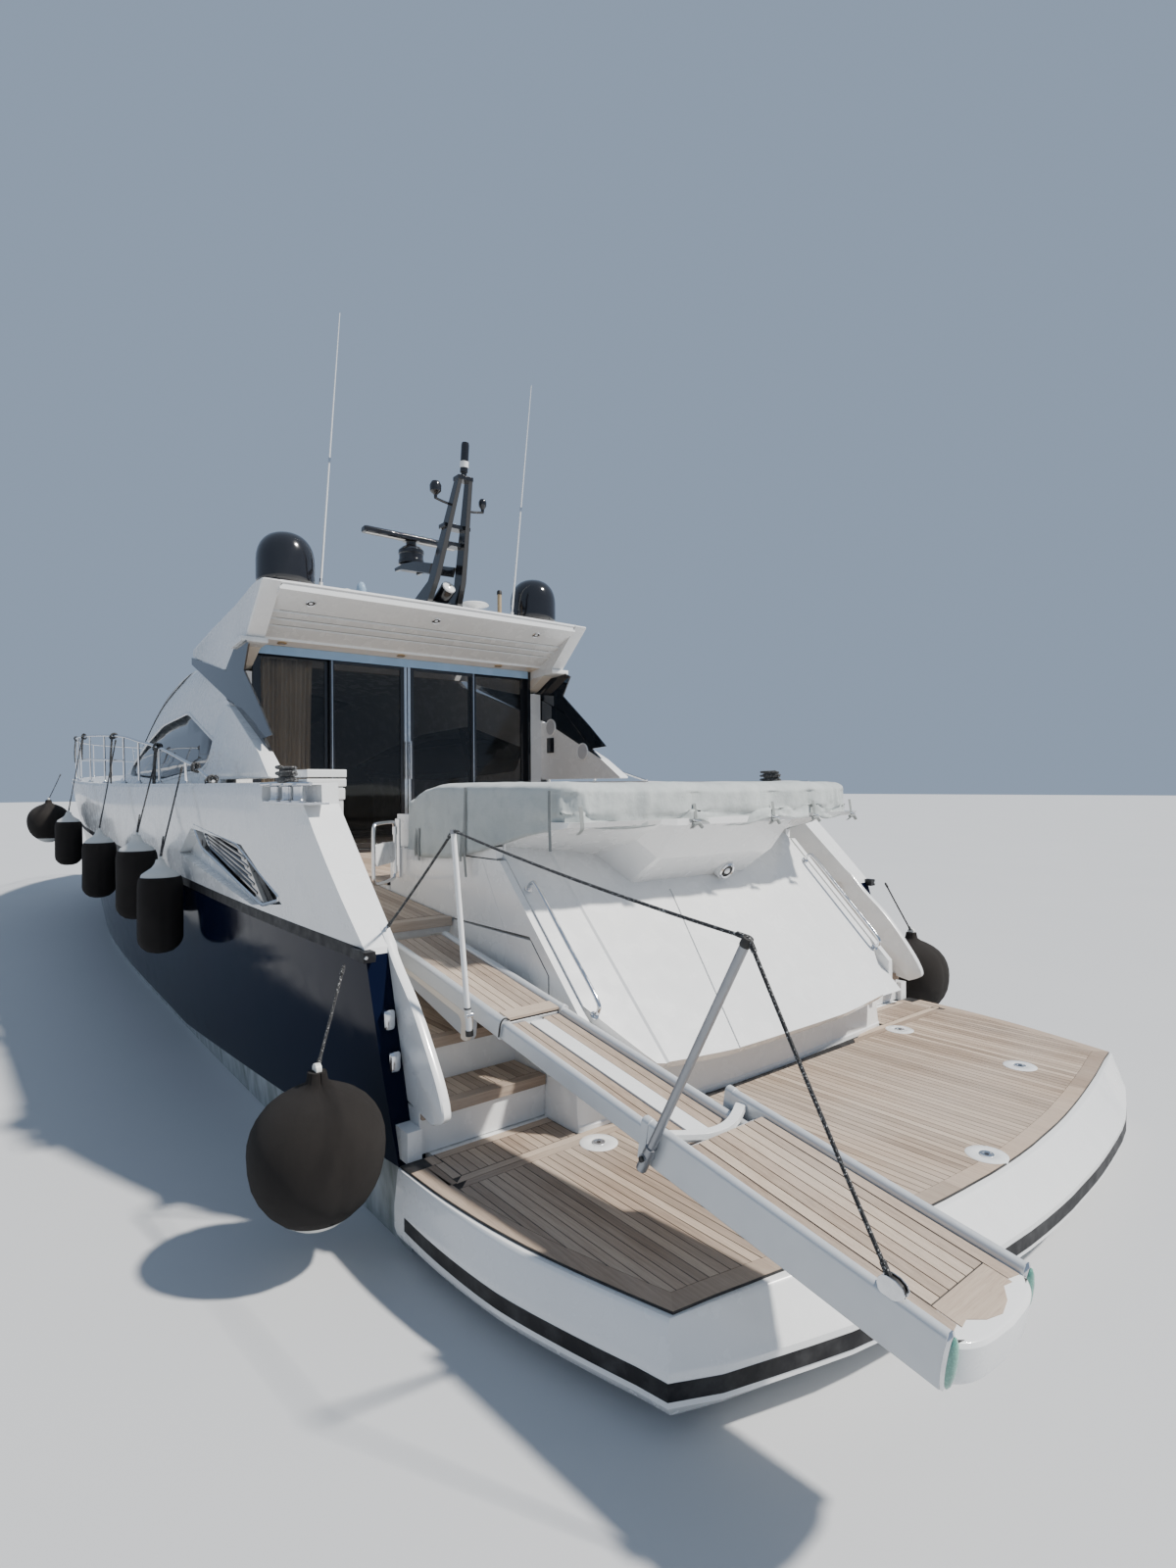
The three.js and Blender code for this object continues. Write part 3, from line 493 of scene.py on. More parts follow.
WEBBING = cloth("webbing", (0.30, 0.32, 0.31), (0.20, 0.215, 0.21), 420.0, 0.0008).material
FENDER = cloth("fender_cloth", (0.020, 0.0175, 0.0165), (0.036, 0.032, 0.029), 330.0, 0.0012,
               Sheen_Weight=0.03, Specular_IOR_Level=0.10).material
FENDER_END = moulded("fender_vinyl", (0.66, 0.66, 0.63), (0.35, 0.5)).material
CURTAIN = cloth("curtain_cloth", (0.92, 0.80, 0.63), (0.78, 0.68, 0.54), 300.0, 0.0005).material
CREAM = moulded("cream_leather", (0.55, 0.47, 0.36), (0.4, 0.6), texture=260.0, depth=0.0006).material
SOFFIT = gelcoat("soffit_liner", (0.78, 0.66, 0.52), (0.70, 0.58, 0.45), (0.35, 0.5)).material
BEIGE = gelcoat("beige_liner", (0.68, 0.625, 0.55), (0.58, 0.53, 0.46), (0.35, 0.5)).material
LAMP = lens("lamp_lens", (0.80, 0.82, 0.84), 0.25).material
GREEN = lens("green_lens", (0.16, 0.42, 0.33)).material
CLEAR_BLUE = lens("pale_blue_lens", (0.45, 0.62, 0.8)).material
BLACK_ROPE = rope_look("black_rope", (0.012, 0.012, 0.013), (0.35, 0.35, 0.34), 0.62).material
TAN = moulded("tan_tube", (0.33, 0.25, 0.15), (0.4, 0.6)).material
# The bridge's recessed side plate gets a darker grey-blue as painted shade; the brow round it keeps the light
# beige.
PAINTED_SHADE_RECESS = moulded("bridge_side_recess_painted_shade", (0.42, 0.45, 0.49), (0.4, 0.55)).material
# Dark strips laid in the steps of the hardtop's underside: painted shadow.
PAINTED_STEP_SHADOW = moulded("shadow_gap", (0.20, 0.185, 0.165), (0.5, 0.7)).material
SPEAKER = moulded("speaker_mesh", (0.46, 0.47, 0.49), (0.5, 0.6), texture=520.0, depth=0.0008).material


# Hull and topsides.

HULL = [
    # x, deck y, deck z, knuckle y, knuckle z, chine y, chine z, keel z
    (0.45, 2.48, 2.43, 2.48, 1.47, 2.42, -0.06, -0.90), (3.0, 2.57, 2.44, 2.55, 1.50, 2.43, -0.06, -0.95),
    (6.0, 2.61, 2.45, 2.58, 1.57, 2.41, -0.06, -0.95), (10.0, 2.62, 2.48, 2.58, 1.69, 2.33, -0.04, -0.95),
    (13.0, 2.59, 2.54, 2.48, 1.78, 2.13, 0.06, -0.93), (15.0, 2.43, 2.59, 2.23, 1.83, 1.78, 0.20, -0.85),
    (17.0, 2.06, 2.64, 1.78, 1.89, 1.26, 0.43, -0.62), (19.0, 1.38, 2.70, 1.05, 1.95, 0.60, 0.82, -0.05),
    (20.3, 0.72, 2.74, 0.33, 1.985, 0.09, 1.42, 1.29), (20.68, 0.40, 2.752, 0.014, 1.995, 0.008, 1.96, 1.94),
]
STEM_TIP = (21.10, 0.025, 2.762, 0.010, 2.690)
FLARE = [(0.0, 0.02), (11.0, 0.02), (15.0, -0.03), (19.0, -0.05), (20.3, -0.015), (20.68, 0.0)]
CAMBER = 0.04
QUARTER_SLOPE = [(-0.5, 0.0), (0.4, 0.0), (0.87, 1.51), (1.72, 2.30), (1.85, 4.0), (-0.5, 4.0)]
VENT = [(2.13, 1.62), (2.78, 1.545), (4.90, 1.80), (4.43, 2.05), (2.95, 1.98)]
FAIRLEAD = (1.60, 2.46, 2.30, 2.425)  # aft, forward, low, high
RUDDERS = (0.76, 1.0, 0.215)  # x and y of their posts, radius of the flat pads over them
INNER_COLOUR_X, FACING_AFT = 1.0, -0.4  # where the hull's inside turns white


def hull(x, column):
    return hermite(HULL, x, column)


def hull_section(x):
    """Half section from keel to knuckle, with two spray strakes and a chine flat."""
    chine_y, chine_z, keel = hull(x, 5), hull(x, 6), hull(x, 7)
    knee_y, knee_z = hull(x, 3), hull(x, 4)
    half = [(0.0, keel)]
    for share in (0.36, 0.7):
        y, z = chine_y * share, keel + (chine_z - keel) * share
        half += [(y, z - 0.018 * chine_y), (y + 0.03 * chine_y, z - 0.018 * chine_y),
                 (y + 0.032 * chine_y, z + 0.004)]
    half += [(chine_y * 0.972, chine_z - 0.02 * min(1.0, chine_y)), (chine_y, chine_z)]
    for share in (0.12, 0.28, 0.44, 0.6, 0.76, 0.9):
        bulge = linear(FLARE, x) * math.sin(math.pi * share)
        half.append((chine_y + (knee_y - chine_y) * share + bulge, chine_z + (knee_z - chine_z) * share))
    return half + [(knee_y, knee_z)]


def whole_ring(x, half):
    """A closed ring from a half section that starts or ends on the centreline."""
    other = [(-y, z) for y, z in reversed(half) if y > 1e-9]
    return [P(x, y, z) for y, z in half + other]


def make_hull():
    xs = stations(0.45, 17.0, 0.55) + stations(17.3, 20.3, 0.3) + [20.42, 20.54, 20.62, 20.68]
    piece = Piece("hull_skin").add(rings([whole_ring(x, hull_section(x)) for x in xs]), NAVY)
    piece.skins.append(WHITE)
    under = [(0.0, 1.29), (0.45, 1.29), (0.65, 1.493), (0.65, 3.0), (0.0, 3.0)]
    slope = [(0.0, 0.30), (0.493, 0.30), (0.867, 1.50), (0.90, 1.80), (0.0, 1.80)]
    cuts = [
        block(0.0, 2.5, -BAY, BAY, 0.8, 3.0), block(-0.1, SALOON_END, -CABIN_IN, CABIN_IN, 1.49, 3.1),
        block(-0.2, 3.3, -PASSAGE, PASSAGE, 1.488, 3.2), prism(under, "y", -WELL_IN, WELL_IN),
        block(-0.3, 2.0, WELL_IN, WELL_OUT, 0.465, 3.0), block(-0.3, 2.0, -WELL_OUT, -WELL_IN, 0.465, 3.0),
        prism(slope, "y", WELL_OUT - 0.06, 3.0), prism(slope, "y", -3.0, -WELL_OUT + 0.06),
        block(1.99, 3.3, WELL_IN, PASSAGE, 1.39, 3.2),
    ]
    for side in (PORT, STARBOARD):
        pad = [(RUDDERS[0] + a, side * RUDDERS[1] + b) for a, b in circle(RUDDERS[2], 32)]
        cuts.append(prism(pad, "z", -1.0, -0.628))

    def repaint(centre, normal, index):
        x, y, z = centre
        inside = abs(y) < WELL_OUT + 0.005 and x < SALOON_END + 0.1 and z > 0.3
        outer = normal.y * y > 0 and x > 2.5
        aft_edge = x <= 0.46 or (normal.x <= FACING_AFT and x <= INNER_COLOUR_X)
        return 1 if inside and not outer and not aft_edge else index
    piece.make("navy_gelcoat", sharp=24, stands_for=["hull"], cuts=cuts, repaint=repaint)


def top_row(x):
    """Deck edge and knuckle at x, also past the last hull station."""
    if x <= HULL[-1][0]:
        return [hull(x, c) for c in (1, 2, 3, 4)]
    share = (x - HULL[-1][0]) / (STEM_TIP[0] - HULL[-1][0])
    first = [HULL[-1][c] for c in (1, 2, 3, 4)]
    made = [a + (b - a) * share for a, b in zip(first, STEM_TIP[1:])]
    made[0] = first[0] + (STEM_TIP[1] - first[0]) * share ** 1.7
    return made


def topside_section(x):
    deck_y, deck_z, knee_y, knee_z = top_row(x)
    rise, lean = deck_z - knee_z, deck_y - knee_y
    half = [(knee_y, knee_z + 0.001)]
    for share, out in ((0.12, 0.006), (0.3, 0.014), (0.5, 0.016), (0.68, 0.012), (0.74, 0.008), (0.9, 0.004)):
        half.append((knee_y + lean * share + out * min(1.0, deck_y), knee_z + rise * share))
    roll = min(0.03, deck_y * 0.4)
    half += [(deck_y, deck_z - roll), (deck_y - roll * 0.3, deck_z - roll * 0.3), (deck_y - roll, deck_z)]
    half += [(deck_y * 0.5, deck_z + CAMBER * 0.75), (0.0, deck_z + CAMBER)]
    return half


def make_topsides():
    xs = stations(0.4505, 17.0, 0.5) + stations(17.3, 20.6, 0.3) + [20.68, 20.78, 20.88, 20.98, 21.06, 21.10]
    piece = Piece("topsides").add(rings([whole_ring(x, topside_section(x)) for x in xs]), WHITE)
    cuts = [block(-0.3, SALOON_END, -CABIN_IN - 0.001, CABIN_IN + 0.001, 0.0, 4.0),
            block(-0.2, 3.3, -PASSAGE, PASSAGE, 0.1, 4.1), prism(QUARTER_SLOPE, "y", -3.0, 3.0)]
    x0, x1, z0, z1 = FAIRLEAD
    opening = [(x0, z0), (x1, z0), (x1 + 0.03, z0 + 0.03), (x1 + 0.03, z1), (x0 - 0.03, z1),
               (x0 - 0.03, z0 + 0.03)]
    for side in (PORT, STARBOARD):
        cuts.append(on_side(prism(VENT, "y", 2.50, 2.75), side))
        cuts.append(on_side(prism(opening, "y", 2.41, 2.8), side))
    stands_for = ["foredeck", "quarter_port", "quarter_starboard"]
    piece.make("white_gelcoat", sharp=22, stands_for=stands_for, cuts=cuts)
    lip = [(-0.022, -0.004), (0.022, -0.004), (0.024, 0.014), (0.014, 0.026), (-0.014, 0.026),
           (-0.024, 0.014)]
    rail = Piece("toe_rail")
    for side in (PORT, STARBOARD):
        edge = [P(x, side * (top_row(x)[0] - 0.035), top_row(x)[1]) for x in stations(1.86, 20.9, 0.4)]
        rail.add(sweep(edge, lip), WHITE)
    rail.make("white_gelcoat")


def rubber_rail(name, path, rubber, strip, stands_for):
    """Black rubber along a path with a polished strip let into its face."""
    rail = Piece(name)
    for section, skin in ((rubber, RUBBER), (strip, STEEL)):
        rail.add(sweep(path, [(-out, up) for out, up in section]), skin)
    rail.make("rub_rail", sharp=50, stands_for=[stands_for])


def make_rub_rail():
    half = [P(x, hull(x, 3), hull(x, 4)) for x in stations(0.90, 20.55, 0.45)] + [P(20.66, 0.06, 1.997)]
    path = half + [P(20.70, 0.0, 2.0)] + [Vector((p.x, -p.y, p.z)) for p in reversed(half)]
    rubber = [(0.004, 0.036), (-0.020, 0.034), (-0.034, 0.018), (-0.034, -0.018), (-0.020, -0.034),
              (0.004, -0.036)]
    strip = [(-0.030, 0.010), (-0.040, 0.008), (-0.040, -0.008), (-0.030, -0.010)]
    rubber_rail("rub_rail_moulding", path, rubber, strip, "rub_rail")


# Teak.


def clip(outline, axis, limit, keep_above):
    """The part of a polygon on one side of a line across one of its axes."""
    made = []
    inside = lambda p: (p[axis] >= limit) == keep_above
    for a, b in zip(outline, outline[1:] + outline[:1]):
        if inside(a):
            made.append(a)
        if inside(a) != inside(b):
            t = (limit - a[axis]) / (b[axis] - a[axis])
            made.append(tuple(u + (v - u) * t for u, v in zip(a, b)))
    return made


def plank_shapes(outline, low, high, pitch=0.05, seam=0.005, butt=None, place=P):
    """Planks fore and aft with seams between them over a polygon of (x, y) points, as shapes with tones."""
    first = min(y for _, y in outline)
    last = max(y for _, y in outline)
    count = max(1, round((last - first) / pitch))
    width = (last - first) / count
    made = []
    for i in range(count):
        strip = clip(outline, 1, first + i * width + seam / 2, True)
        strip = clip(strip, 1, first + (i + 1) * width - seam / 2, False) if len(strip) > 2 else []
        if len(strip) < 3:
            continue
        start, end = (f(x for x, _ in strip) for f in (min, max))
        joints = [start]
        if butt:
            shift = butt * ((i * 0.37) % 1)
            joints += [x for x in stations(start - shift, end, butt)[1:-1] if start + 0.3 < x < end - 0.3]
        joints.append(end)
        for a, b in zip(joints, joints[1:]):
            part = strip
            if len(joints) > 2:
                part = clip(clip(strip, 0, a + seam * 0.4, True), 0, b - seam * 0.4, False)
            if len(part) > 2:
                made.append((slab(part, low, high, place), random.random()))
    return made


def lay_planks(piece, outline, low, high, side=PORT, **how):
    for shape, tone in plank_shapes(outline, low, high, **how):
        piece.add(on_side(shape, side), TEAK_X, tone)


def band(piece, path, width, low, high, seam=0.005):
    """A margin board of a given width along the left of a path of (x, y) points, mitred at its corners."""
    path, inner = offset(path, seam / 2), offset(path, width - seam / 2)
    tone, run, heading = random.random(), 0.0, None
    for a, b, c, d in zip(path, path[1:], inner[1:], inner):
        step = Vector(b) - Vector(a)
        if heading and (step.angle(heading) > math.radians(20) or run > 1.7):
            tone, run = random.random(), 0.0
        heading, run = step, run + step.length
        piece.add(slab((a, b, c, d), low, high), TEAK_X, tone)


def offset(path, distance):
    """The open path moved to its left by a distance, with mitred corners."""
    made = []
    for i, p in enumerate(path):
        before = Vector(path[max(i - 1, 0)]).to_2d()
        here = Vector(p).to_2d()
        after = Vector(path[min(i + 1, len(path) - 1)]).to_2d()
        dirs = [d.normalized() for d in (here - before, after - here) if d.length > 1e-9]
        normals = [Vector((-d.y, d.x)) for d in dirs]
        bisector = sum(normals, Vector((0, 0))).normalized()
        made.append(tuple(here + bisector * (distance / max(0.3, bisector.dot(normals[0])))))
    return made


# Swim platform.


PLATFORM_SIDE = [(0.449, 2.500), (0.0, 2.485), (-0.45, 2.435), (-0.85, 2.345), (-1.24, 2.235)]
PLATFORM_STERN = [(-1.24, 2.235), (-1.39, 1.50), (-1.49, 0.80), (-1.53, 0.25)]
SILL = [(0.449, 1.553), (0.21, 1.553), (0.176, 1.540), (0.163, 1.505), (0.140, 1.25), (0.115, 0.6),
        (0.10, 0.30)]
MOULD_TOP = DECK - 0.013


def mirror_path(half):
    """A path over the port side and back along the starboard side."""
    return list(half) + [(x, -y) for x, y in reversed(half)]


def smooth_line(points, per=4):
    return [(p.x, p.y) for p in smooth_path([(x, y, 0) for x, y in points], per)]


def platform_outline(grow_side=0.0, grow_stern=0.0):
    """Half outline from the hull round the port corner to the centreline, grown outwards."""
    (start, _), (_, corner) = PLATFORM_SIDE[0], PLATFORM_SIDE[-1]
    grown = lambda share: 0.45 + 0.55 * min(1.0, share)
    side = [(x, y + grow_side * grown((start - x) / 0.9)) for x, y in smooth_line(PLATFORM_SIDE)]
    stern = [(x - grow_stern * grown((corner - y) / 0.8), y + grow_side * y / corner * 0.9)
             for x, y in smooth_line(PLATFORM_STERN)]
    corner_in, corner_out = side[-1], stern[0]
    middle = [tuple((a + b) / 2 for a, b in zip(corner_in, corner_out))]
    return side[:-1] + middle + stern[1:] + [(stern[-1][0] - 0.004, 0.08)]


LEVELS = [
    # height, growth at the sides, growth at the stern
    (0.060, -0.12, -0.10), (0.085, -0.05, -0.02), (0.130, 0.02, 0.10), (0.170, 0.045, 0.155),
    (0.290, 0.045, 0.160), (0.302, 0.040, 0.150), (0.440, 0.006, 0.014), (0.452, 0.0, 0.004),
    (MOULD_TOP, -0.006, -0.006),
]
KERB = [  # height, growth
    (0.44, 0.0), (0.49, 0.0), (0.50, -0.008), (0.77, -0.035), (0.79, -0.05), (0.80, -0.07),
]


def make_platform():
    rows = [[P(x, y, z) for x, y in mirror_path(platform_outline(a, b))] for z, a, b in LEVELS]
    body = Piece("platform_moulding").add(rings(rows), WHITE)
    sill = mirror_path([(0.46, 1.553)] + SILL)
    body.add(rings([[P(x - d, y * (1 + d / 6), z) for x, y in sill] for z, d in KERB]), WHITE)
    body.make("white_gelcoat", sharp=30, stands_for=["swim_platform"])

    path = both_ways([P(x, y, 0.228) for x, y in platform_outline(0.047, 0.160)][1:])
    rubber = [(0.0, 0.034), (0.016, 0.031), (0.030, 0.015), (0.032, -0.015), (0.018, -0.031), (0.0, -0.034)]
    strip = [(0.028, 0.009), (0.038, 0.007), (0.038, -0.007), (0.028, -0.009)]
    rubber_rail("platform_fender", path, rubber, strip, "platform_rub_rail")


MARGIN = 0.095
SEAM_X = (0.05, 0.155)  # the boards across the platform at its hatch
SEAM_PITCH = 0.054


def make_platform_teak():
    deck = Piece("platform_planks")
    rim = mirror_path(platform_outline(-0.028, -0.03))
    low, high = MOULD_TOP, DECK
    ahead = mirror_path([(0.446, 1.563)] + [(x - 0.012, y + 0.01) for x, y in SILL[1:]])
    deck.add(slab(rim + list(reversed(ahead)), low + 0.0006, high - 0.0022), CAULK)
    band(deck, [p for p in rim if p[0] < 0.42], MARGIN, low + 0.002, high)
    inner = [p for p in offset(rim, MARGIN) if p[0] < SEAM_X[0]]
    inner = [(min(x, SEAM_X[0] - 0.003), y) for x, y in inner]
    inner = [(SEAM_X[0] - 0.003, inner[0][1])] + inner + [(SEAM_X[0] - 0.003, inner[-1][1])]
    lay_planks(deck, inner, low + 0.002, high, pitch=0.052)
    for side in (PORT, STARBOARD):
        lay_corner(deck, side, low + 0.002, high)
    deck.make("teak", stands_for=["platform_teak"])


def lay_corner(deck, side, low, high):
    """The boards across the platform at its hatch and the small planks between them and the steps."""
    for i, (aft, forward) in enumerate(((1.0, 1.06), (1.12, 1.25))):
        x0 = SEAM_X[0] + i * SEAM_PITCH
        board = [(x0, aft), (x0 + 0.05, forward), (x0 + 0.05, 2.30), (x0, 2.355)]
        deck.add(slab([(x, side * y) for x, y in board], low, high), TEAK_Y, random.random())
    for i in range(2):
        y0 = 2.30 + i * 0.05
        board = block(SEAM_X[1] + 0.004 - i * 0.05, 0.34, side * y0, side * (y0 + 0.045), low, high)
        deck.add(board, TEAK_X, random.random())
    deck.add(block(0.384, 0.444, side * 1.57, side * 2.295, low, high), TEAK_Y, 0.8)
    lay_planks(deck, rect(SEAM_X[1] + 0.006, 0.378, 1.57, 2.295), low, high, side, pitch=0.052)
    lay_planks(deck, rect(0.345, 0.44, 2.30, 2.36), low, high, side)


def make_deck_plates():
    plates = Piece("deck_plates")
    base = [(0, -0.01), (0.105, -0.01), (0.105, 0.001), (0.1, 0.004), (0.045, 0.004), (0.04, 0.001),
            (0, 0.001)]
    plug = [(0, 0.0), (0.036, 0.0), (0.036, 0.006), (0.026, 0.007), (0.024, 0.0035), (0, 0.0035)]
    for x, y in ((0.0, 1.54), (0.0, -1.54), (-0.95, 1.42), (-0.95, -1.42), (-1.40, 0.07)):
        centre = P(x, y, DECK)
        plates.add(lathe(base, centre), WHITE)
        plates.add(lathe(plug, centre), STEEL)
        plates.add(lathe(disc(0.012, 0.003, 0.0042), centre, segments=12), CAULK)
    plates.make("white_gelcoat")


# Cockpit, steps and what stands in them.


def place_node(name, skin):
    """A CAD solid that keeps its shape gets its finish."""
    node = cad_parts[name]
    for place in node.material_slots:
        place.material = skin
    return node


def soften(name, skin, width):
    """The same, with its edges rounded."""
    node = place_node(name, skin)
    node.modifiers.new("weld", "WELD").merge_threshold = 0.0002
    edge = node.modifiers.new("edges", "BEVEL")
    edge.width, edge.segments, edge.limit_method, edge.angle_limit = width, 2, "ANGLE", math.radians(35)
    return node


RAMP_FOOT, RAMP_HEAD, RAMP_FALL = 1.62, 3.29, 0.15  # the port passage falls towards its steps
STEPS = {PORT: [(0.49, 0.70), (0.80, 0.95), (1.88, 0)],  # x of each nosing and height of its tread
         STARBOARD: [(0.49, 0.70), (0.78, 0.95), (1.07, 1.18), (1.36, 1.40), (1.64, 0)]}


def make_cockpit():
    soften("cockpit_moulding", WHITE, 0.008)
    low, high = SOLE - 0.0295, SOLE
    sole = Piece("cockpit_planks")
    base = [(3.29, 1.555), (3.29, 1.94), (3.345, 1.94), (3.345, 1.615), (3.985, 1.615), (3.985, 1.94),
            (5.40, 1.94), (5.40, -1.94), (3.29, -1.94), (3.29, -2.29), (1.65, -2.29), (1.65, -1.555),
            (2.61, -1.555), (2.61, 1.555)]
    sole.add(slab(base, low, high - 0.0022), CAULK)
    areas = [
        # aft, forward, starboard and port edges
        (3.293, 3.34, 1.56, 1.94), (3.99, 5.395, 1.615, 1.935), (3.34, 5.395, 1.56, 1.615),
        (2.615, 5.395, -1.555, 1.56), (1.715, 3.285, -2.285, -1.94), (1.715, 5.395, -1.935, -1.56),
    ]
    for area in areas:
        lay_planks(sole, rect(*area), low + 0.002, high, butt=2.1)
    down = lambda x, y, z: P(x, y, z - RAMP_FALL * (RAMP_HEAD - x) / (RAMP_HEAD - RAMP_FOOT))
    sole.add(slab(rect(RAMP_FOOT, RAMP_HEAD, 1.555, 2.29), low, high - 0.0022, down), CAULK)
    lay_planks(sole, rect(RAMP_FOOT + 0.065, RAMP_HEAD, 1.56, 2.285), low + 0.002, high, butt=2.1, place=down)
    for x, side, top in ((RAMP_FOOT, PORT, high - RAMP_FALL), (1.65, STARBOARD, high)):
        board = block(x - 0.055, x + 0.062, side * 1.56, side * 2.288, top - 0.058, top + 0.003)
        sole.add(board, TEAK_Y, 0.75)
    sole.make("teak", bevel=0.0015, stands_for=["cockpit_teak"])


def make_steps():
    steps = Piece("step_treads")
    for side, rows in STEPS.items():
        inner, outer = side * 1.555, side * 2.352
        for (x, z), (end, _) in zip(rows, rows[1:]):
            steps.add(block(x - 0.022, x + 0.05, inner, outer, z - 0.045, z + 0.013), TEAK_Y, random.random())
            steps.add(block(x + 0.051, end - 0.004, inner, outer, z + 0.0005, z + 0.0105), CAULK)
            lay_planks(steps, rect(x + 0.055, end - 0.006, 1.557, 2.35), z + 0.002, z + 0.013, side)
    steps.make("teak", bevel=0.0015)


def make_locker():
    locker = Piece("cockpit_locker_slats")
    aft, ahead, inner, outer, top = 3.35, 3.98, 1.62, 1.94, 2.56
    locker.add(block(aft, ahead, inner, outer, SOLE - 0.03, top - 0.12), WHITE)
    for low, high, out in ((2.492, 2.56, 0.022), (2.412, 2.480, 0.02), (2.30, 2.398, 0.012)):
        locker.add(block(aft - out, ahead + out * 0.5, inner - out, outer + 0.004, low, high), WHITE)
    locker.add(block(aft - 0.004, aft + 0.01, 1.70, 1.86, 2.06, 2.22), WHITE)
    locker.make("white_gelcoat", bevel=0.014, stands_for=["cockpit_locker"])


# Garage, its lid and the covered sunbed.


LID_HALF = [
    # y, x of the lower edge, how far the face lies back, share of the bulge under the bed
    (0.0, -0.150, 0.0, 1.0), (0.30, -0.150, 0.0, 1.0), (0.57, -0.148, 0.0, 1.0),
    (0.60, -0.147, 0.0, 0.96), (0.74, -0.140, 0.0, 0.38), (0.77, -0.138, 0.0, 0.34),
    (1.00, -0.124, 0.0, 0.2), (1.112, -0.116, 0.0, 0.16), (1.126, -0.116, 0.011, 0.155),
    (1.19, -0.105, 0.011, 0.13), (1.24, -0.055, 0.011, 0.12), (1.46, 0.185, 0.011, 0.01),
    (1.479, 0.21, 0.014, 0.0),
]
SLOPE = 0.96  # the face lies where z = x + SLOPE


def lid_section(y):
    """Section of the lid at y: face, the bulge under the sunbed, its lip, and the hollow below."""
    rows = [(-r[0], *r[1:]) for r in reversed(LID_HALF[1:])] + LID_HALF
    low, back, bulge = (linear(rows, y, c) for c in (1, 2, 3))
    back *= 0.7
    mix = lambda a, b: tuple(u + (v - u) * bulge for u, v in zip(a, b))
    joint = mix((1.065, 1.065 + SLOPE), (0.77, 0.77 + SLOPE))
    joint = (joint[0] + back, joint[1] - back)
    edge = 0.33 - 0.02 * (1 - abs(y) / 1.48)
    return [
        (low + back, low + SLOPE - back), (low + 0.4, low + 0.4 + SLOPE - 2 * back), joint,
        mix((0.84, 2.075), (0.625, 1.830)), mix((0.60, 2.125), (0.50, 1.915)),
        mix((edge + 0.02, 2.160), (edge, 2.145)),
        (edge - 0.004, 2.190), (2.59, 2.190), (2.59, 2.01), (2.54, 2.01), (2.54, 2.12), (1.14, 2.12),
        (1.10, 1.976), (low + 0.052, low + SLOPE - 0.052),
    ]


def make_lid():
    ys = [-r[0] for r in reversed(LID_HALF[1:])] + [r[0] for r in LID_HALF]
    piece = Piece("garage_lid_panel", "garage_lid")
    piece.add(rings([[P(x, y, z) for x, z in lid_section(y)] for y in ys]), WHITE)
    a, b = P(0.625, 0.31, 1.585), P(-0.19, 0.56, 0.77)
    along = (b - a).normalized()
    normal = Vector((-1, 0, 1)).normalized()
    across = along.cross(normal)
    groove = ((-0.009, -0.009), (0.009, -0.009), (0.009, 0.03), (-0.009, 0.03))
    seam = rings([[p + across * u + normal * v for u, v in groove]
                  for p in (a - along * 0.12, b + along * 0.1)])
    piece.make("white_gelcoat", sharp=9, stands_for=["garage_lid"], cuts=[seam])
    skirts = Piece("garage_lid_skirts", "garage_lid")
    for side in (PORT, STARBOARD):
        skirts.add(block(1.02, 2.588, side * 1.464, side * 1.4785, 1.9315, 2.1895), WHITE)
        skirts.add(block(1.03, 2.05, side * 1.4787, side * 1.535, 1.9375, 2.015), WHITE)
    skirts.make("white_gelcoat", bevel=0.002)


def make_lid_fittings():
    """The lamp under the bed's bulge and the two grab rails on the lid's face."""
    trim = Piece("garage_lid_lamp", "garage_lid")
    face = Vector((-0.84, 0.05, -0.54))
    lamp = P(0.665, -0.27, 1.765)
    bezel = [(0.0, 0.0), (0.068, 0.0), (0.070, 0.012), (0.060, 0.020), (0.050, 0.014), (0.048, 0.004),
             (0.0, 0.004)]
    parts = [
        # profile, finish, segments
        ([(0.0, -0.10), (0.088, -0.10), (0.078, 0.0), (0.0, 0.001)], WHITE, 32), (bezel, STEEL, 32),
        ([(0.0, 0.003), (0.047, 0.003), (0.044, 0.010), (0.0, 0.012)], CAULK, 32),
        ([(0.0, 0.011), (0.026, 0.011), (0.018, 0.020), (0.0, 0.022)], LAMP, 24),
    ]
    for profile, skin, segments in parts:
        trim.add(lathe(profile, lamp, face, segments), skin)
    run = [(0.15, 1.115), (0.115, 1.14), (0.14, 1.215), (0.42, 1.495), (0.70, 1.775), (0.765, 1.80),
           (0.80, 1.765)]
    flange = [(0, -0.004), (0.026, -0.004), (0.026, 0.003), (0.018, 0.006), (0, 0.006)]
    for y in (1.44, -1.44):
        trim.add(tube([P(x, y, z) for x, z in run], 0.0125, 12, 5), STEEL)
        for foot in (P(0.151, y, 1.108), P(0.801, y, 1.758)):
            trim.add(lathe(flange, foot, (-1, 0, 1), 20), STEEL)
    trim.make("stainless", stands_for=["grab_rail_port", "grab_rail_starboard"])


